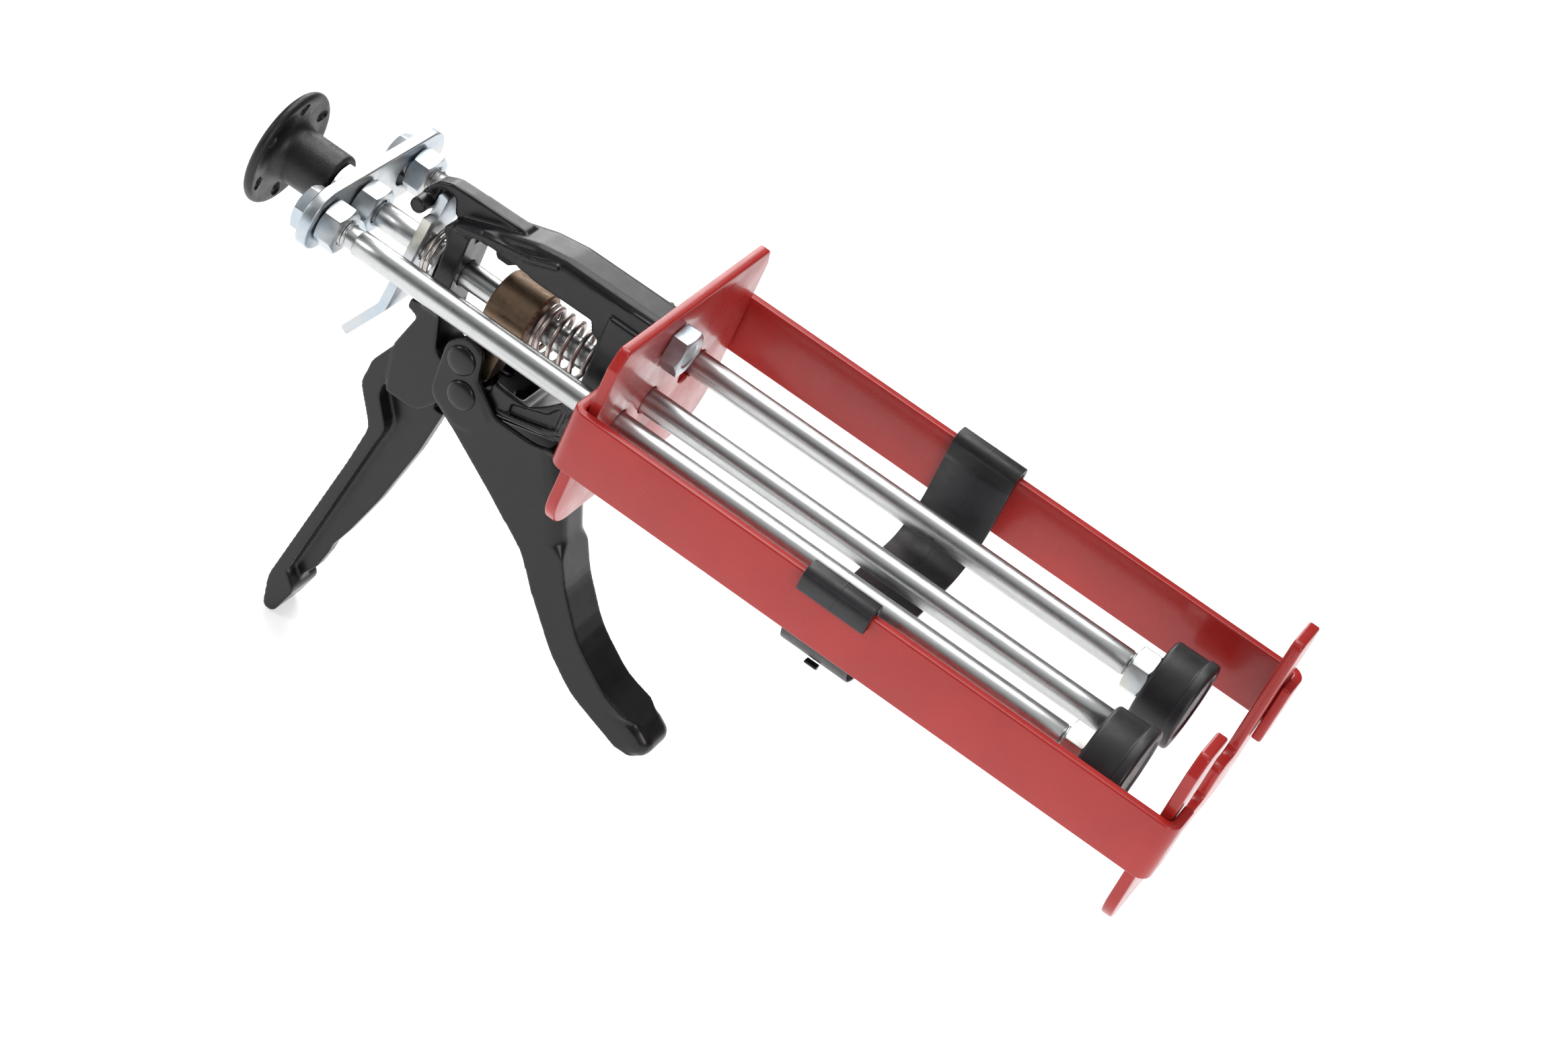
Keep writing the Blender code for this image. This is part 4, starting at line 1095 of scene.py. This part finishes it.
@dataclass
class RodSet:
    """The three rods with rolled threads at their ends; sizes in millimetres."""

    radius: float = 4.0
    root: float = 3.35
    crest: float = 3.9
    neck: float = 3.45
    tip: float = 3.1
    pitch: float = 1.25
    lead: float = 0.5
    runout: float = 3.0
    neck_length: float = 2.4
    step: float = 0.05
    edge: float = 0.4
    edge_drop: float = 0.35
    front_drop: float = 0.3
    nose: float = 0.7
    nose_drop: float = 0.6
    side_shoulder: float = -91.2
    drive_shoulder: float = -95.2
    front_shoulder: float = 150.4
    around: int = 48
    plain_rows: int = 24
    rows_per_turn: int = 8

    def threaded(self, x: float, angle: float) -> float:
        """Radius of the thread at a spot.

        Args:
            x: place along the rod in metres.
            angle: angle round the rod.

        Returns:
            The radius in metres.
        """
        phase = (x / (self.pitch * MM) - angle / TURN) % 1
        rise = 1 - abs(2 * phase - 1)
        rise = min(max(rise * 1.5 - 0.2, 0), 1)
        return (self.root + (self.crest - self.root) * rise) * MM

    def rod(self, node: str, shoulder: float, front: float | None) -> None:
        """Rod with a thread behind its shoulder and, given a front shoulder, one ahead of it.

        Args:
            node: the CAD node it stands for.
            shoulder: end of the rear thread.
            front: start of the front thread, or None for a plain chamfered nose.
        """
        low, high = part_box(node)
        full, pitch, step, rear = self.radius * MM, self.pitch * MM, self.step * MM, shoulder * MM
        start, end = rear + self.edge * MM, high[0] if front is None else front * MM
        rows: list[Row] = [(low[0], self.tip * MM)]
        rows += self.thread_rows(low[0] + self.lead * MM, rear - self.runout * MM)
        rows += [(rear - self.neck_length * MM, self.neck * MM), (rear, self.neck * MM),
                 (rear + step, full - self.edge_drop * MM), (start, full)]
        length = end - self.nose * MM - start
        rows += [(start + length * i / self.plain_rows, full) for i in range(1, self.plain_rows + 1)]
        if front is None:
            rows.append((end, full - self.nose_drop * MM))
        else:
            rows += [(end, full - self.front_drop * MM), (end + step, self.neck * MM)]
            rows += self.thread_rows(end + 2 * step, high[0] - pitch / 2)
            rows.append((high[0], self.tip * MM))
        publish(f"{node}_drawn", self.skin(f"{node}_drawn", rows, centre(node).y), Body.PUSHER, STEEL, node)

    def thread_rows(self, start: float, end: float) -> list[Row]:
        """Rows of threaded section between two places."""
        count = max(self.rows_per_turn, round((end - start) / (self.pitch * MM) * self.rows_per_turn))
        return [(start + (end - start) * i / count, None) for i in range(count + 1)]

    def skin(self, name: str, rows: Sequence[Row], y: float) -> bpy.types.Mesh:
        """Closed skin along X.

        Args:
            name: the mesh's name.
            rows: places along the rod and their radii.
            y: the rod's Y in metres.

        Returns:
            The mesh.
        """
        shape = bmesh.new()
        loops = []
        for x, plain in rows:
            loop = []
            for i in range(self.around):
                angle = TURN * i / self.around
                radius = self.threaded(x, angle) if plain is None else plain
                loop.append(shape.verts.new((x, y + radius * math.cos(angle), radius * math.sin(angle))))
            loops.append(loop)
        return bar(shape, loops, name, 55)

    def build(self) -> None:
        """Make the three rods and every nut and bolt."""
        self.rod("right_rod", self.side_shoulder, self.front_shoulder)
        self.rod("left_rod", self.side_shoulder, self.front_shoulder)
        self.rod("drive_rod", self.drive_shoulder, None)
        nuts = Fastener()
        for side in ("right", "left"):
            nuts.nut(f"{side}_rod_front_nut", 12)
            nuts.nut(f"{side}_rod_rear_nut", 40)
            nuts.nut(f"{side}_piston_nut", 20)
        nuts.nut("drive_rod_front_nut", 5)
        nuts.nut("drive_rod_lock_nut", 25)
        nuts.bolt("upper_frame_bolt", 8)
        nuts.bolt("lower_frame_bolt", 20)


@dataclass
class Yoke:
    """Flat bar that ties the rods together; sizes in millimetres."""

    radius: float = 9.8
    hole: float = 4.3
    edge: float = 0.45
    spare_step: float = SPARE_STEP

    def build(self) -> None:
        """Make the bar with its holes and sheared edges."""
        low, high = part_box("yoke_plate")
        near, far, radius = low[1] / MM, high[1] / MM, self.radius
        outline = rounded([(near, -radius, radius), (far, -radius, radius), (far, radius, radius),
                           (near, radius, radius)])
        holes = [ring(centre(node).y, 0, self.hole * MM) for node in ("right_rod", "drive_rod")]
        holes.append(keyhole(centre("left_rod").y, self.spare_step, self.hole))
        mesh = slab("yoke_plate_plated", outline, holes, Plane.YZ, low[0], high[0], self.edge * MM)
        publish("yoke_plate_plated", mesh, Body.PUSHER, ZINC, "yoke_plate")


@dataclass
class Knob:
    """Pull knob: a hub flared into a thin drilled disc; sizes in millimetres."""

    disc: float = 18.5
    hub: float = 8.6
    hub_edge: float = 1.2
    fillet: float = 4.0
    bead: float = 1.6
    holes: int = 6
    hole: float = 1.8
    hole_circle: float = 14.2
    flare: float = 0.5
    bore: float = 3.95
    bore_depth: float = 12.0

    def build(self) -> None:
        """Make the knob with its rolled rim and drilled holes."""
        low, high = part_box("pull_knob")
        length, y = (high[0] - low[0]) / MM, centre("pull_knob").y
        thick, root, top = 2 * self.bead, self.hub + self.fillet, self.hub - self.hub_edge
        profile = [(0, length), (top, length)]
        profile += arc((top, length - self.hub_edge), self.hub_edge, 90, 0, 5)
        profile += arc((root, thick - 0.6 + self.fillet), self.fillet, 180, 270, 14)
        profile += [(self.disc - 4.2, thick - 0.55), (self.disc - 2.6, thick - 0.15)]
        profile += arc((self.disc - self.bead, self.bead), self.bead, 80, -80, 12)
        profile += [(self.disc - 3.2, 0.5), (root, 0.9), (self.hub + 2, 0.6), (0, 0.3)]
        matrix = facing_x(low[0], y)
        mesh = revolve("pull_knob_moulded", metres(profile), matrix, 96)
        wide = self.hole + self.flare
        flare = metres([(0, -1), (self.hole + 0.6, -1), (wide, 0.7), (self.hole, 1.2),
                        (self.hole, thick - 0.9), (wide, thick - 0.4), (self.hole + 0.9, thick + 2),
                        (0, thick + 2)])
        drills = []
        for index in range(self.holes):
            angle = TURN * (index + 0.5) / self.holes
            spot = (y + self.hole_circle * MM * math.cos(angle), self.hole_circle * MM * math.sin(angle))
            drills.append(revolve("drill", flare, facing_x(low[0], *spot), 28))
        floor = length - self.bore_depth
        bore = [(0, floor), (self.bore, floor), (self.bore, length - 0.5), (4.5, length + 1), (0, length + 1)]
        drills.append(revolve("drill", metres(bore), matrix, 48))
        mesh = combine(mesh, "DIFFERENCE", *drills, sharp=38)
        publish("pull_knob_moulded", mesh, Body.PUSHER, LEATHERY, "pull_knob")


@dataclass
class Piston:
    """Moulded cup piston with a raised rim and a trimmed flash line; sizes in millimetres."""

    node: str
    rim: float = 3.5
    step: float = 0.5
    face_drop: float = 0.6
    face_edge: float = 1.1
    back_edge: float = 1.2
    bore: float = 4.0
    bore_depth: float = 9.0

    def build(self) -> None:
        """Make the piston."""
        low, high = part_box(self.node)
        length, radius = (high[0] - low[0]) / MM, (high[1] - low[1]) / 2 / MM
        body, seam = radius - self.step, length - self.rim
        floor, edge = length - self.face_drop, self.face_edge
        profile = [(0, floor), (radius - 3.4, floor), (radius - 2.9, length - 0.1), (radius - 2.5, length)]
        profile += arc((radius - edge, length - edge), edge, 90, 0, 6)
        profile += [(radius, seam + 0.5), (radius - 0.12, seam + 0.2), (body + 0.02, seam),
                    (body - 0.06, seam - 0.35), (body, seam - 0.7), (body - 0.15, 1.6)]
        profile += arc((body - 1.35, self.back_edge), self.back_edge, 0, -90, 6)
        profile += [(self.bore + 0.6, 0), (self.bore, 0.5), (self.bore, self.bore_depth),
                    (0, self.bore_depth)]
        matrix = facing_x(low[0], centre(self.node).y)
        mesh = revolve(f"{self.node}_moulded", metres(profile), matrix, 96)
        publish(f"{self.node}_moulded", mesh, Body.PUSHER, PLASTIC, self.node)


# ---------------------------------------------------------------- handle, trigger and drive
@dataclass
class Casting:
    """Cast frame with its hooked nose and fixed handle; sizes in millimetres."""

    voxel: float = 0.45
    rounds: int = 3
    middle: float = -7.5
    beam: float = 7.5
    wall: float = 9.0
    handle: float = 6.4
    mark_bevel: float = 0.35

    def mark(self, x: float, z: float, radius: float, half: float) -> bpy.types.Mesh:
        """Round ejector mark standing out of both sides.

        Args:
            x: its place along the gun.
            z: its height.
            radius: its radius.
            half: distance from the middle to where its bevel starts.

        Returns:
            The mesh.
        """
        end, narrow = half + self.mark_bevel, radius - 0.3
        profile = [(0, -end), (narrow, -end), (radius, -half), (radius, half), (narrow, end), (0, end)]
        return revolve("mark", metres(profile), facing_y(x * MM, self.middle * MM, z * MM), 32)

    def rib(self, corners: Sequence[Corner], half: float) -> bpy.types.Mesh:
        """Raised rib drawn in X and Z, the same on both sides."""
        low, high = (self.middle - half) * MM, (self.middle + half) * MM
        return slab("rib", rounded(corners, 15), (), Plane.XZ, low, high, 0.3 * MM, 2)

    def build(self) -> None:
        """Join the cast details to the frame's shape and round it all off."""
        beam_rib = [(-70, 17.8, 0.8), (-59, 20.6, 1), (-46, 22.9, 1), (-37, 26.2, 0.8), (-37, 24.4, 0.8),
                    (-46, 20.9, 1), (-59, 18.4, 1), (-70, 15.6, 0.8)]
        fork_rib = [(-38, -28, 1), (-22, -24, 1), (-14, -19, 1), (-14, -21, 1), (-22, -25.6, 1),
                    (-38, -29.6, 1)]
        handle_rib = [(-76.6, -44, 0.5), (-70.4, -61, 1), (-72.6, -76, 3), (-81.6, -129, 0.5),
                      (-80.4, -129.4, 0.5), (-71.2, -76, 3), (-69, -61, 1), (-75.2, -44.6, 0.5)]
        extras = [
            self.mark(-13.5, 15.5, 2.2, self.wall - 0.6), self.mark(-74, -46.5, 2.4, 2.0),
            self.mark(-68.5, 12.4, 1.8, self.wall - 1.5), self.rib(beam_rib, self.beam + 0.9),
            self.rib(fork_rib, self.beam + 0.4), self.rib(handle_rib, self.handle),
        ]
        mesh = soften([cad_mesh("frame_casting"), *extras], "frame_casting_painted", self.voxel * MM,
                      self.rounds)
        publish("frame_casting_painted", mesh, Body.FRAME, CAST, "frame_casting")


@dataclass
class Trigger:
    """Pressed channel trigger with a raised panel round its pins; sizes in millimetres."""

    voxel: float = 0.4
    rounds: int = 14
    middle: float = -7.5
    half: float = 9.5
    panel: float = 0.35
    overlap: float = 0.9
    hole: float = 2.8
    edge: float = 0.15

    def build(self) -> None:
        """Raise the panels on both cheeks and round the pressing's edges."""
        outline = rounded([(-58.4, -17, 5), (-53, -11, 6), (-47.2, -14, 3), (-46.4, -22.4, 4),
                           (-37.2, -31.6, 1), (-41.6, -38.6, 1), (-47, -39.6, 3), (-57.2, -34.6, 5)])
        pins = [centre(node) for node in ("trigger_pivot_rivet", "drive_pin_rivet")]
        holes = [ring(pin.x, pin.z, self.hole * MM, 32) for pin in pins]
        cheeks = ((self.middle - self.half - self.panel, self.middle - self.half + self.overlap),
                  (self.middle + self.half - self.overlap, self.middle + self.half + self.panel))
        panels = [slab("panel", outline, holes, Plane.XZ, low * MM, high * MM, self.edge * MM, 2)
                  for low, high in cheeks]
        mesh = soften([cad_mesh("trigger"), *panels], "trigger_painted", self.voxel * MM, self.rounds)
        publish("trigger_painted", mesh, Body.TRIGGER, PRESSED, "trigger")


@dataclass
class Rivet:
    """Pin with a domed head at each end; sizes in millimetres."""

    node: str
    body: Body
    head: float = 4.8
    rise: float = 1.7
    pin: float = 2.5

    def build(self) -> None:
        """Make the rivet."""
        low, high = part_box(self.node)
        spot, half = centre(self.node), (high[1] - low[1]) / 2 / MM - self.rise
        dome = [(0.0, half + self.rise)]
        for degrees in range(9, 91, 9):
            angle = math.radians(degrees)
            dome.append((self.head * math.sin(angle) ** 0.8, half + self.rise * math.cos(angle)))
        under = self.head - 0.05
        profile = dome + [(under, half), (self.pin, half), (self.pin, -half), (under, -half)]
        profile += [(r, -h) for r, h in reversed(dome)]
        mesh = revolve(f"{self.node}_painted", metres(profile), facing_y(spot.x, spot.y, spot.z), 48)
        publish(f"{self.node}_painted", mesh, self.body, PRESSED, self.node)


@dataclass
class Drive:
    """Bronze dog and its return spring; sizes in millimetres."""

    radius: float = 9.7
    bore: float = 4.3
    length: float = 14.0
    edge: float = 0.5
    tail: float = 4.6
    coil: float = 7.4
    wire: float = 1.5
    turns: float = 5.5
    closed_turns: float = 1.4
    travel: float = 7.55

    def dog(self) -> None:
        """Collar with chamfered ends and the tail the pin pushes."""
        low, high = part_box("drive_dog")
        y, rim = centre("drive_dog").y, self.edge
        ends = [(0, self.length), (self.radius - rim, self.length), (self.radius, self.length - rim),
                (self.radius, rim), (self.radius - rim, 0), (0, 0)]
        collar = revolve("drive_dog_sintered", metres(ends), facing_x(low[0], y), 96)
        back, bottom = low[0] / MM, low[2] / MM
        face = back + 2.8
        outline = rounded([
            (back + 1, 0, 0), (back + 1, -10, 2), (face, -14, 2), (face, bottom + 2, 1),
            (face + 2, bottom, 1), (face + 4.6, bottom, 1), (face + 5.6, -14, 2), (back + 12, -7, 2),
            (back + 12, 0, 0),
        ])
        tail = slab("tail", outline, (), Plane.XZ, y - self.tail * MM, y + self.tail * MM, 0.4 * MM)
        wide, mouth = self.bore + 0.8, self.bore + rim
        bore = [(0, -1), (wide, -1), (mouth, 0), (self.bore, rim), (self.bore, self.length - rim),
                (mouth, self.length), (wide, self.length + 1), (0, self.length + 1)]
        drill = revolve("drill", metres(bore), facing_x(low[0], y), 64)
        mesh = combine(combine(collar, "UNION", tail), "DIFFERENCE", drill, sharp=25)
        publish("drive_dog_sintered", mesh, Body.DOG, BRONZE, "drive_dog")

    def build(self) -> None:
        """Make the dog and the spring in front of it."""
        self.dog()
        low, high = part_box("return_spring")
        mesh = Coil(self.coil, self.wire, self.turns, self.closed_turns).mesh(
            "return_spring_wire", low[0], high[0])
        piece = publish("return_spring_wire", mesh, Body.FRAME, WIRE, "return_spring")
        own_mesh(piece)


@dataclass
class Coil:
    """Round-wire compression spring round the drive rod; sizes in millimetres."""

    radius: float
    wire: float
    turns: float
    close: float
    closeness: float = 1.05
    around: int = 12
    per_turn: int = 40

    def mesh(self, name: str, low: float, high: float) -> bpy.types.Mesh:
        """Sweep the wire between two ends, its first turns close together.

        Args:
            name: the mesh's name.
            low: rear end in metres.
            high: front end in metres.

        Returns:
            The closed wire.
        """
        y, wire = centre("return_spring").y, self.wire * MM / 2
        first, last = low + wire, high - wire
        packed = self.close * self.wire * MM * self.closeness
        shape = bmesh.new()
        loops = []
        for step in range(round(self.turns * self.per_turn) + 1):
            turn = step / self.per_turn
            if turn < self.close:
                x = first + turn * self.wire * MM * self.closeness
            else:
                x = first + packed + (last - first - packed) * (turn - self.close) / (self.turns - self.close)
            angle = TURN * turn
            out = Vector((0, math.cos(angle), math.sin(angle)))
            middle = Vector((x, y, 0)) + out * self.radius * MM
            loop = []
            for i in range(self.around):
                spin = TURN * i / self.around
                place = middle + out * wire * math.cos(spin) + Vector((wire * math.sin(spin), 0, 0))
                loop.append(shape.verts.new(place))
            loops.append(loop)
        return bar(shape, loops, name, 50)


@dataclass
class Catch:
    """Tilted plate that grips the drive rod, with its spring and cup; sizes in millimetres."""

    edge: float = 0.35
    coil: float = 7.2
    wire: float = 1.2
    turns: float = 2.0
    cup_hole: float = 4.3

    def build(self) -> None:
        """Round the plate's edges and make the spring and cup."""
        work = add_object("work", cad_mesh("catch_plate"))
        shape = bmesh.new()
        shape.from_mesh(work.data)
        bmesh.ops.dissolve_limit(shape, angle_limit=math.radians(1), verts=shape.verts, edges=shape.edges)
        shape.to_mesh(work.data)
        shape.free()
        bevel = work.modifiers.new("edges", "BEVEL")
        bevel.width = self.edge * MM
        bevel.segments = 3
        bevel.angle_limit = math.radians(40)
        mesh = bake(work, "catch_plate_plated")
        publish("catch_plate_plated", mesh, Body.CATCH, ZINC, "catch_plate")
        low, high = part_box("catch_spring")
        mesh = Coil(self.coil, self.wire, self.turns, 0).mesh("catch_spring_wire", low[0], high[0])
        piece = publish("catch_spring_wire", mesh, Body.FRAME, WIRE, "catch_spring")
        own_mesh(piece)
        self.cup()

    def cup(self) -> None:
        """Cup washer under the spring, with a shallow rim."""
        low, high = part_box("catch_spring_cup")
        thick, radius = (high[0] - low[0]) / MM, (high[1] - low[1]) / 2 / MM
        profile = [(self.cup_hole, thick), (radius - 0.4, thick), (radius, thick - 0.4), (radius, 0.3),
                   (radius - 0.3, 0), (radius - 0.7, 0), (radius - 0.9, 0.5), (self.cup_hole, 0.5)]
        mesh = revolve("catch_spring_cup_plated", metres(profile),
                       facing_x(low[0], centre("catch_spring_cup").y), 72)
        publish("catch_spring_cup_plated", mesh, Body.FRAME, ZINC, "catch_spring_cup")


# ---------------------------------------------------------------- studio
@dataclass
class Studio:
    """Floor, soft light and the camera; places in metres."""

    lens: float = 84.85
    sensor: float = 36.0
    eye: tuple[float, float, float] = (0.2438, -0.8193, 0.5965)
    right: tuple[float, float, float] = (0.8038, 0.4661, 0.3697)
    up: tuple[float, float, float] = (-0.56495, 0.40321, 0.71989)
    middle: tuple[float, float, float] = (0.03, 0.0, -0.03)
    floor_size: float = 30.0
    floor_gap: float = 0.0005
    sky_strength: float = 0.75
    horizon_grey: float = 0.5
    dark_grey: float = 0.07
    dark_height: float = 0.52

    def camera(self) -> None:
        """Place the camera, level with neither axis, as a product shot is often tipped."""
        lens = bpy.data.cameras.new("camera")
        lens.lens = self.lens
        lens.sensor_width = self.sensor
        lens.sensor_fit = "HORIZONTAL"
        lens.clip_start = 0.01
        lens.clip_end = 100
        right = Vector(self.right).normalized()
        back = right.cross(Vector(self.up)).normalized()
        up = back.cross(right)
        camera = add_object("camera", lens)
        turn = Matrix((right, up, back)).transposed().to_4x4()
        camera.matrix_world = Matrix.Translation(self.eye) @ turn
        bpy.context.scene.camera = camera

    def floor(self) -> None:
        """Lay the pale floor just under the handle."""
        shape = bmesh.new()
        bmesh.ops.create_grid(shape, x_segments=1, y_segments=1, size=self.floor_size / 2)
        bmesh.ops.translate(shape, vec=(0, 0, CAD_BOX[0][2] - self.floor_gap), verts=shape.verts)
        mesh = bpy.data.meshes.new("floor")
        shape.to_mesh(mesh)
        shape.free()
        mesh.materials.append(FLOOR.material())
        floor = add_object("floor", mesh)

    def light(self, name: str, place: Sequence[float], size: float, watts: float) -> None:
        """Square soft box aimed at the middle of the gun.

        Args:
            name: the light's name.
            place: where it hangs.
            size: side of the box.
            watts: its power.
        """
        lamp = bpy.data.lights.new(name, "AREA")
        lamp.size = size
        lamp.energy = watts
        aim = Vector(self.middle) - Vector(place)
        turn = aim.to_track_quat("-Z", "Y").to_matrix().to_4x4()
        add_object(name, lamp).matrix_world = Matrix.Translation(place) @ turn

    def sky(self) -> None:
        """Soft surround: white overhead, dark halfway up and mid grey at the horizon and below."""
        world = bpy.data.worlds.new("studio")
        world.use_nodes = True
        tree = world.node_tree
        place = tree.nodes.new("ShaderNodeTexCoord").outputs["Generated"]
        split = tree.nodes.new("ShaderNodeSeparateXYZ")
        tree.links.new(place, split.inputs["Vector"])
        ramp = tree.nodes.new("ShaderNodeValToRGB")
        elements = ramp.color_ramp.elements
        dark = elements.new(self.dark_height)
        for element, grey in ((elements[0], self.horizon_grey), (dark, self.dark_grey)):
            element.color = (grey, grey, grey * 1.01, 1)
        tree.links.new(split.outputs["Z"], ramp.inputs["Fac"])
        tree.links.new(ramp.outputs["Color"], tree.nodes["Background"].inputs["Color"])
        tree.nodes["Background"].inputs["Strength"].default_value = self.sky_strength
        bpy.context.scene.world = world

    def build(self) -> None:
        """Set up everything round the gun."""
        self.camera()
        self.floor()
        self.sky()
        self.light("overhead_box", (-0.35, 0.4, 1.2), 0.9, 10)
        self.light("front_box", (0.95, -0.8, 0.7), 0.5, 5)
        self.light("left_strip", (-1.0, -0.6, 0.55), 0.3, 2.5)
        self.light("back_box", (-0.9, 1.4, 0.75), 0.9, 13)
        bpy.context.scene.view_settings.view_transform = "Standard"


def main() -> None:
    """Build every piece in order, then the studio."""
    logging.basicConfig(level=logging.INFO, format="%(name)s %(message)s")
    for part in (
        Cradle(), Saddle(), RodSet(), Yoke(), Knob(), Piston("right_piston"), Piston("left_piston"),
        Casting(), Trigger(), Rivet("trigger_pivot_rivet", Body.FRAME),
        Rivet("drive_pin_rivet", Body.TRIGGER), Drive(), Catch(), Studio(),
    ):
        part.build()
        LOG.info("%s done", type(part).__name__)


if __name__ == "__main__":
    main()
